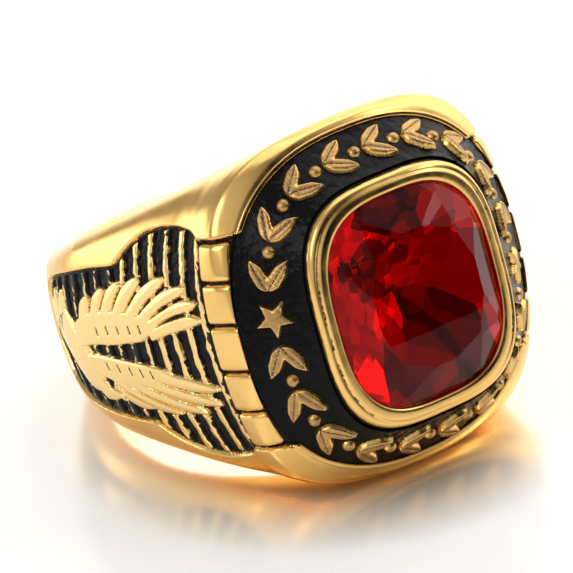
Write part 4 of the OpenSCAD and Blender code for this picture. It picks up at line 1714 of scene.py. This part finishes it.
@dataclass(frozen=True)
class StoneFinish:
    """Clear red stone with a mirror backing under its pavilion, which glows with painted light and
    painted glints.

    Args:
        name: the material's name.
        colour: the stone's red.
        backing: colour of the backing.
        bits: how fine the backing's painted glints are, in cells per metre.
    """

    name: str
    colour: tuple[float, float, float] = (0.95, 0.02, 0.03)
    backing: tuple[float, float, float] = (0.85, 0.03, 0.04)
    bits: float = 1150.0

    def crown(self) -> bpy.types.Material:
        """Builds the clear red of the crown and the table.

        Returns:
            The finished material.
        """
        n = Nodes(self.name)
        tone = n.ramp(n.noise(500, 3, 0.5), 0.3, 0.7)
        n.join(n.mix(tone, self.colour, (0.85, 0.015, 0.025)), n.shader.inputs["Base Color"])
        n.shader.inputs["Transmission Weight"].default_value = 1.0
        n.shader.inputs["IOR"].default_value = 1.27
        polish = n.ramp(n.noise(1500, 2, 0.5), 0.3, 0.7, 0.0, 0.012)
        n.join(polish, n.shader.inputs["Roughness"])
        return n.material

    def pavilion(self) -> bpy.types.Material:
        """Builds the mirror-like red backing of the pavilion's facets, with painted light and
        glints glowing from it.

        Returns:
            The finished material.
        """
        n = Nodes(self.name + "_backing_painted_glow")
        tone = n.ramp(n.noise(350, 3, 0.5), 0.3, 0.7)
        # painted glints: cells that brighten or darken the painted light near one spot
        cells = n.add("ShaderNodeTexVoronoi", Scale=self.bits)
        n.join(n.place, cells.inputs["Vector"])
        spark = n.ramp(cells.outputs["Color"], 0.3, 0.7, -0.9, 0.9)
        painted_glint = n.mark("painted_glint")
        gain = n.math("ADD", n.math("MULTIPLY", spark, painted_glint), 1.0)
        lit = n.mark("lit")
        flash = n.math("MULTIPLY", n.ramp(cells.outputs["Color"], 0.5, 0.7, 0.0, 0.35), painted_glint)
        lit = n.math("ADD", n.math("MULTIPLY", lit, gain), flash)
        bright = n.mix(tone, self.backing, (0.6, 0.01, 0.015))
        # the base colour is darkened where the painted light is low: painted shade
        n.join(n.mix(lit, (0.06, 0.002, 0.004), bright), n.shader.inputs["Base Color"])
        n.shader.inputs["Metallic"].default_value = 1.0
        # the facets glow by their painted light, though they are no lamp
        n.join(n.mix(lit, (0.0, 0.0, 0.0), (1.0, 0.01, 0.015)),
               n.shader.inputs["Emission Color"])
        n.shader.inputs["Emission Strength"].default_value = 0.55
        polish = n.ramp(n.noise(900, 2, 0.5), 0.3, 0.7, 0.02, 0.06)
        n.join(polish, n.shader.inputs["Roughness"])
        return n.material


@dataclass(frozen=True)
class Softbox:
    """A soft rectangular light.

    Args:
        name: the light's name.
        place: where it is, in metres.
        size: its width and height, in metres.
        power: how strong it is, in watts.
    """

    name: str
    place: tuple[float, float, float]
    size: tuple[float, float]
    power: float

    def light(self) -> bpy.types.Object:
        """Hangs the light, aimed at the ring.

        Returns:
            The new light.
        """
        data = bpy.data.lights.new(self.name, "AREA")
        data.shape = "RECTANGLE"
        data.size, data.size_y = self.size
        data.energy = self.power
        lamp = bpy.data.objects.new(self.name, data)
        lamp.location = self.place
        aim = Vector((0, 0, 0.008)) - lamp.location
        lamp.rotation_euler = aim.to_track_quat("-Z", "Y").to_euler()
        bpy.context.scene.collection.objects.link(lamp)
        return lamp


@dataclass(frozen=True)
class Glow:
    """A soft bright part of the room, such as a lit wall.

    Args:
        azimuth: its direction round the ring in degrees, from the front towards the right.
        elevation: its height in degrees.
        strength: how bright it is.
        core: angle from its middle where it is at full strength.
        edge: angle from its middle where it ends.
    """

    azimuth: float
    elevation: float
    strength: float
    core: float
    edge: float

    def value(self, tree: bpy.types.NodeTree,
              way: bpy.types.NodeSocket) -> bpy.types.NodeSocket:
        """Adds the nodes that give this part's brightness in a direction.

        Args:
            tree: the room's nodes.
            way: the direction looked at.

        Returns:
            The brightness.
        """
        az, el = math.radians(self.azimuth), math.radians(self.elevation)
        middle = (math.sin(az) * math.cos(el), -math.cos(az) * math.cos(el), math.sin(el))
        dot = tree.nodes.new("ShaderNodeVectorMath")
        dot.operation = "DOT_PRODUCT"
        dot.inputs[1].default_value = middle
        tree.links.new(way, dot.inputs[0])
        fade = tree.nodes.new("ShaderNodeMapRange")
        fade.interpolation_type = "SMOOTHSTEP"
        for name, number in (("From Min", math.cos(math.radians(self.edge))),
                             ("From Max", math.cos(math.radians(self.core))),
                             ("To Min", 0.0), ("To Max", self.strength)):
            fade.inputs[name].default_value = number
        tree.links.new(dot.outputs["Value"], fade.inputs["Value"])
        return fade.outputs["Result"]


@dataclass
class Studio:
    """The pale glossy floor, the soft light and the camera at the photo's angle.

    Args:
        azimuth: the camera's direction in the ring's own frame, in degrees.
        elevation: its height there, in degrees.
        roll: how far it is turned about its own line of sight, in degrees.
        shift: how far the ring's middle lies from that line, in millimetres.
        far: distance to the ring's middle, in millimetres.
        lens: the lens's length, in millimetres.
        floor_half: half the floor's side, in metres.
        floor_steps: cells along the floor's side.
        sheen: half width and half length of the floor's mirror-like part, which also carries a
            painted warm reflection of the gold, in metres.
        sheen_shift: how far that part lies to the front, in metres.
        boxes: the soft lights.
        glows: the bright parts of the room.
    """

    azimuth: float = 29.048
    elevation: float = 14.115
    roll: float = 15.358
    shift: tuple[float, float] = (-1.666, -0.826)
    far: float = 240.0
    lens: float = 270.4
    floor_half: float = 0.25
    floor_steps: int = 24
    sheen: tuple[float, float] = (0.0143, 0.0152)
    sheen_shift: float = 0.003
    boxes: tuple[Softbox, ...] = (
        Softbox("left_box", (-0.40, -0.03, 0.31), (0.26, 0.30), 0.55),
        Softbox("top_box", (0.10, 0.12, 0.60), (0.40, 0.40), 0.6),
        Softbox("right_box", (0.34, -0.22, 0.30), (0.12, 0.12), 0.16),
    )
    glows: tuple[Glow, ...] = (
        Glow(180, 0, 0.42, 0, 175),
        Glow(-66, 32, 0.5, 16, 62),
        Glow(120, 15, 1.25, 26, 62),
        Glow(78, 38, 0.55, 12, 46),
        Glow(-142, -2, 2.4, 7, 22),
        Glow(170, -6, 0.5, 10, 30),
    )

    def camera(self) -> bpy.types.Object:
        """Sets the camera where the photo was taken from.

        Returns:
            The new camera.
        """
        az, el, roll = (math.radians(v) for v in (self.azimuth, self.elevation, self.roll))
        out = np.array([-math.sin(az) * math.cos(el), -math.cos(az) * math.cos(el),
                        math.sin(el)])
        right = unit(np.cross(-out, [0, 0, 1]))
        down = np.cross(-out, right)
        rows = np.array([math.cos(roll) * right + math.sin(roll) * down,
                         -math.sin(roll) * right + math.cos(roll) * down, -out])
        at = REST.placed(-(rows.T @ np.array([*self.shift, self.far])))
        right, down, ahead = REST.turned(rows)
        data = bpy.data.cameras.new("photo_camera")
        data.sensor_width, data.lens = 36.0, self.lens
        data.clip_start, data.clip_end = 0.01, 20.0
        camera = bpy.data.objects.new("photo_camera", data)
        turn = Matrix((right, -down, -ahead)).transposed().to_4x4()
        camera.matrix_world = Matrix.Translation(tuple(at)) @ turn
        bpy.context.scene.collection.objects.link(camera)
        bpy.context.scene.camera = camera
        return camera

    def floor(self) -> bpy.types.Object:
        """Lays a wide pale floor with a soft gloss and an even glow, and a painted warm reflection
        of the gold round the ring.

        Returns:
            The floor.
        """
        mesh = bpy.data.meshes.new("floor")
        side = np.linspace(-self.floor_half, self.floor_half, self.floor_steps + 1)
        gx, gy = np.meshgrid(side, side)
        verts = np.stack([gx.ravel(), gy.ravel(), np.zeros(gx.size)], -1)
        index = np.arange(gx.size).reshape(gx.shape)
        quads = np.stack([index[:-1, :-1], index[:-1, 1:], index[1:, 1:], index[1:, :-1]],
                         -1).reshape(-1, 4)
        mesh.from_pydata(verts.tolist(), [], quads.tolist())
        n = Nodes("pale_floor")
        spread = n.add("ShaderNodeMapping", Scale=(1 / self.sheen[0], 1 / self.sheen[1], 1.0),
                       Location=(0.0, self.sheen_shift / self.sheen[1], 0.0))
        n.join(n.place, spread.inputs["Vector"])
        far = n.add("ShaderNodeVectorMath", operation="LENGTH")
        n.join(spread.outputs["Vector"], far.inputs[0])
        near = n.ramp(far.outputs["Value"], 1.08, 0.62)
        # near the ring the floor is painted warm: a painted reflection of the gold
        n.join(n.mix(near, (0.93, 0.93, 0.92), (1.0, 0.85, 0.60)),
               n.shader.inputs["Base Color"])
        # near the ring its glow turns dim and warm: a painted reflection of the gold
        n.join(n.mix(near, (1.0, 1.0, 0.99), (0.20, 0.105, 0.03)),
               n.shader.inputs["Emission Color"])
        n.shader.inputs["Emission Strength"].default_value = 0.2
        n.join(n.ramp(near, 0.0, 1.0, 0.0, 0.86), n.shader.inputs["Metallic"])
        rough = n.ramp(n.noise(30, 2, 0.5), 0.3, 0.7, 0.17, 0.21)
        n.join(rough, n.shader.inputs["Roughness"])
        mesh.materials.append(n.material)
        floor = bpy.data.objects.new("floor", mesh)
        bpy.context.scene.collection.objects.link(floor)
        return floor

    def lights(self) -> None:
        """Hangs the soft lights and sets the glow of the room."""
        for box in self.boxes:
            box.light()
        world = bpy.data.worlds.new("room")
        world.use_nodes = True
        tree = world.node_tree
        way = tree.nodes.new("ShaderNodeTexCoord").outputs["Generated"]
        total, *others = (glow.value(tree, way) for glow in self.glows)
        for share in others:
            add = tree.nodes.new("ShaderNodeMath")
            add.operation = "ADD"
            tree.links.new(total, add.inputs[0])
            tree.links.new(share, add.inputs[1])
            total = add.outputs["Value"]
        shade = tree.nodes["Background"]
        shade.inputs["Color"].default_value = (1.0, 0.985, 0.96, 1.0)
        tree.links.new(total, shade.inputs["Strength"])
        bpy.context.scene.world = world
        bpy.context.scene.view_settings.view_transform = "Standard"


def dress(piece: bpy.types.Object, finishes: Iterable[bpy.types.Material], part: Part,
          *nodes: str) -> bpy.types.Object:
    """Gives a piece its finish, hangs it on the ring and lets it stand for CAD nodes.

    Args:
        piece: the new piece.
        finishes: its materials, in the order of its slots.
        part: the record's slot for the piece; not used.
        nodes: the CAD nodes that it stands for.

    Returns:
        The same piece.
    """
    for finish in finishes:
        piece.data.materials.append(finish)
    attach(piece, "root")
    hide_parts(*nodes)
    LOG.info("%s: %d faces, stands for %s", piece.name, len(piece.data.polygons),
             ", ".join(nodes))
    return piece


def main() -> None:
    """Builds every piece of the ring, its finishes and the studio round it."""
    logging.basicConfig(level=logging.INFO, format="%(message)s")
    form = RingForm()
    casting = Casting(Rows(form))
    relief = SideRelief(form)
    side = casting.sheet(relief)
    # the paler colour is a painted highlight on the bird and ribs
    gold = GoldFinish("polished_gold", painted_highlight=(1.0, 0.71, 0.30)).material()
    # the bore's gold is painted paler than the rest, to offset the orange of light bouncing round
    # inside the bore
    wall_gold = GoldFinish("bore_gold", (0.97, 0.74, 0.40), (0.93, 0.67, 0.32), rough=0.16,
                           grime=False).material()
    raised_gold = GoldFinish("raised_gold", rough=0.24, dull_shaded_top=True).material()
    panel_black = EnamelFinish("panel_black", dust=0.64, rough=0.24).material()
    channel_black = EnamelFinish("channel_black", dust=0.72, rough=0.11).material()
    red = StoneFinish("red_stone")

    dress(side.build("casting_right"), [gold], Part.METAL, "ring_body")
    dress(mirrored(side).build("casting_left"), [gold], Part.METAL, "ring_body")
    dress(Bore(casting).sheet().build("finger_bore"), [wall_gold], Part.METAL, "ring_body")
    panel = PanelEnamel(casting, relief).sheet()
    dress(panel.build("panel_black_right"), [panel_black], Part.ENAMEL, "right_enamel")
    dress(mirrored(panel).build("panel_black_left"), [panel_black], Part.ENAMEL,
          "left_enamel")
    channel = Channel(form)
    dress(channel.sheet().build("channel_sprays"), [raised_gold], Part.METAL, "ring_body")
    dress(channel.fill().build("channel_black"), [channel_black], Part.ENAMEL,
          "channel_enamel")
    dress(Bezel().sheet().build("bezel"), [gold], Part.METAL, "ring_body")
    dress(Stone().build("cushion_stone"), [red.crown(), red.pavilion()], Part.STONE, "stone")

    studio = Studio()
    studio.camera()
    studio.floor()
    studio.lights()


if __name__ == "__main__":
    main()
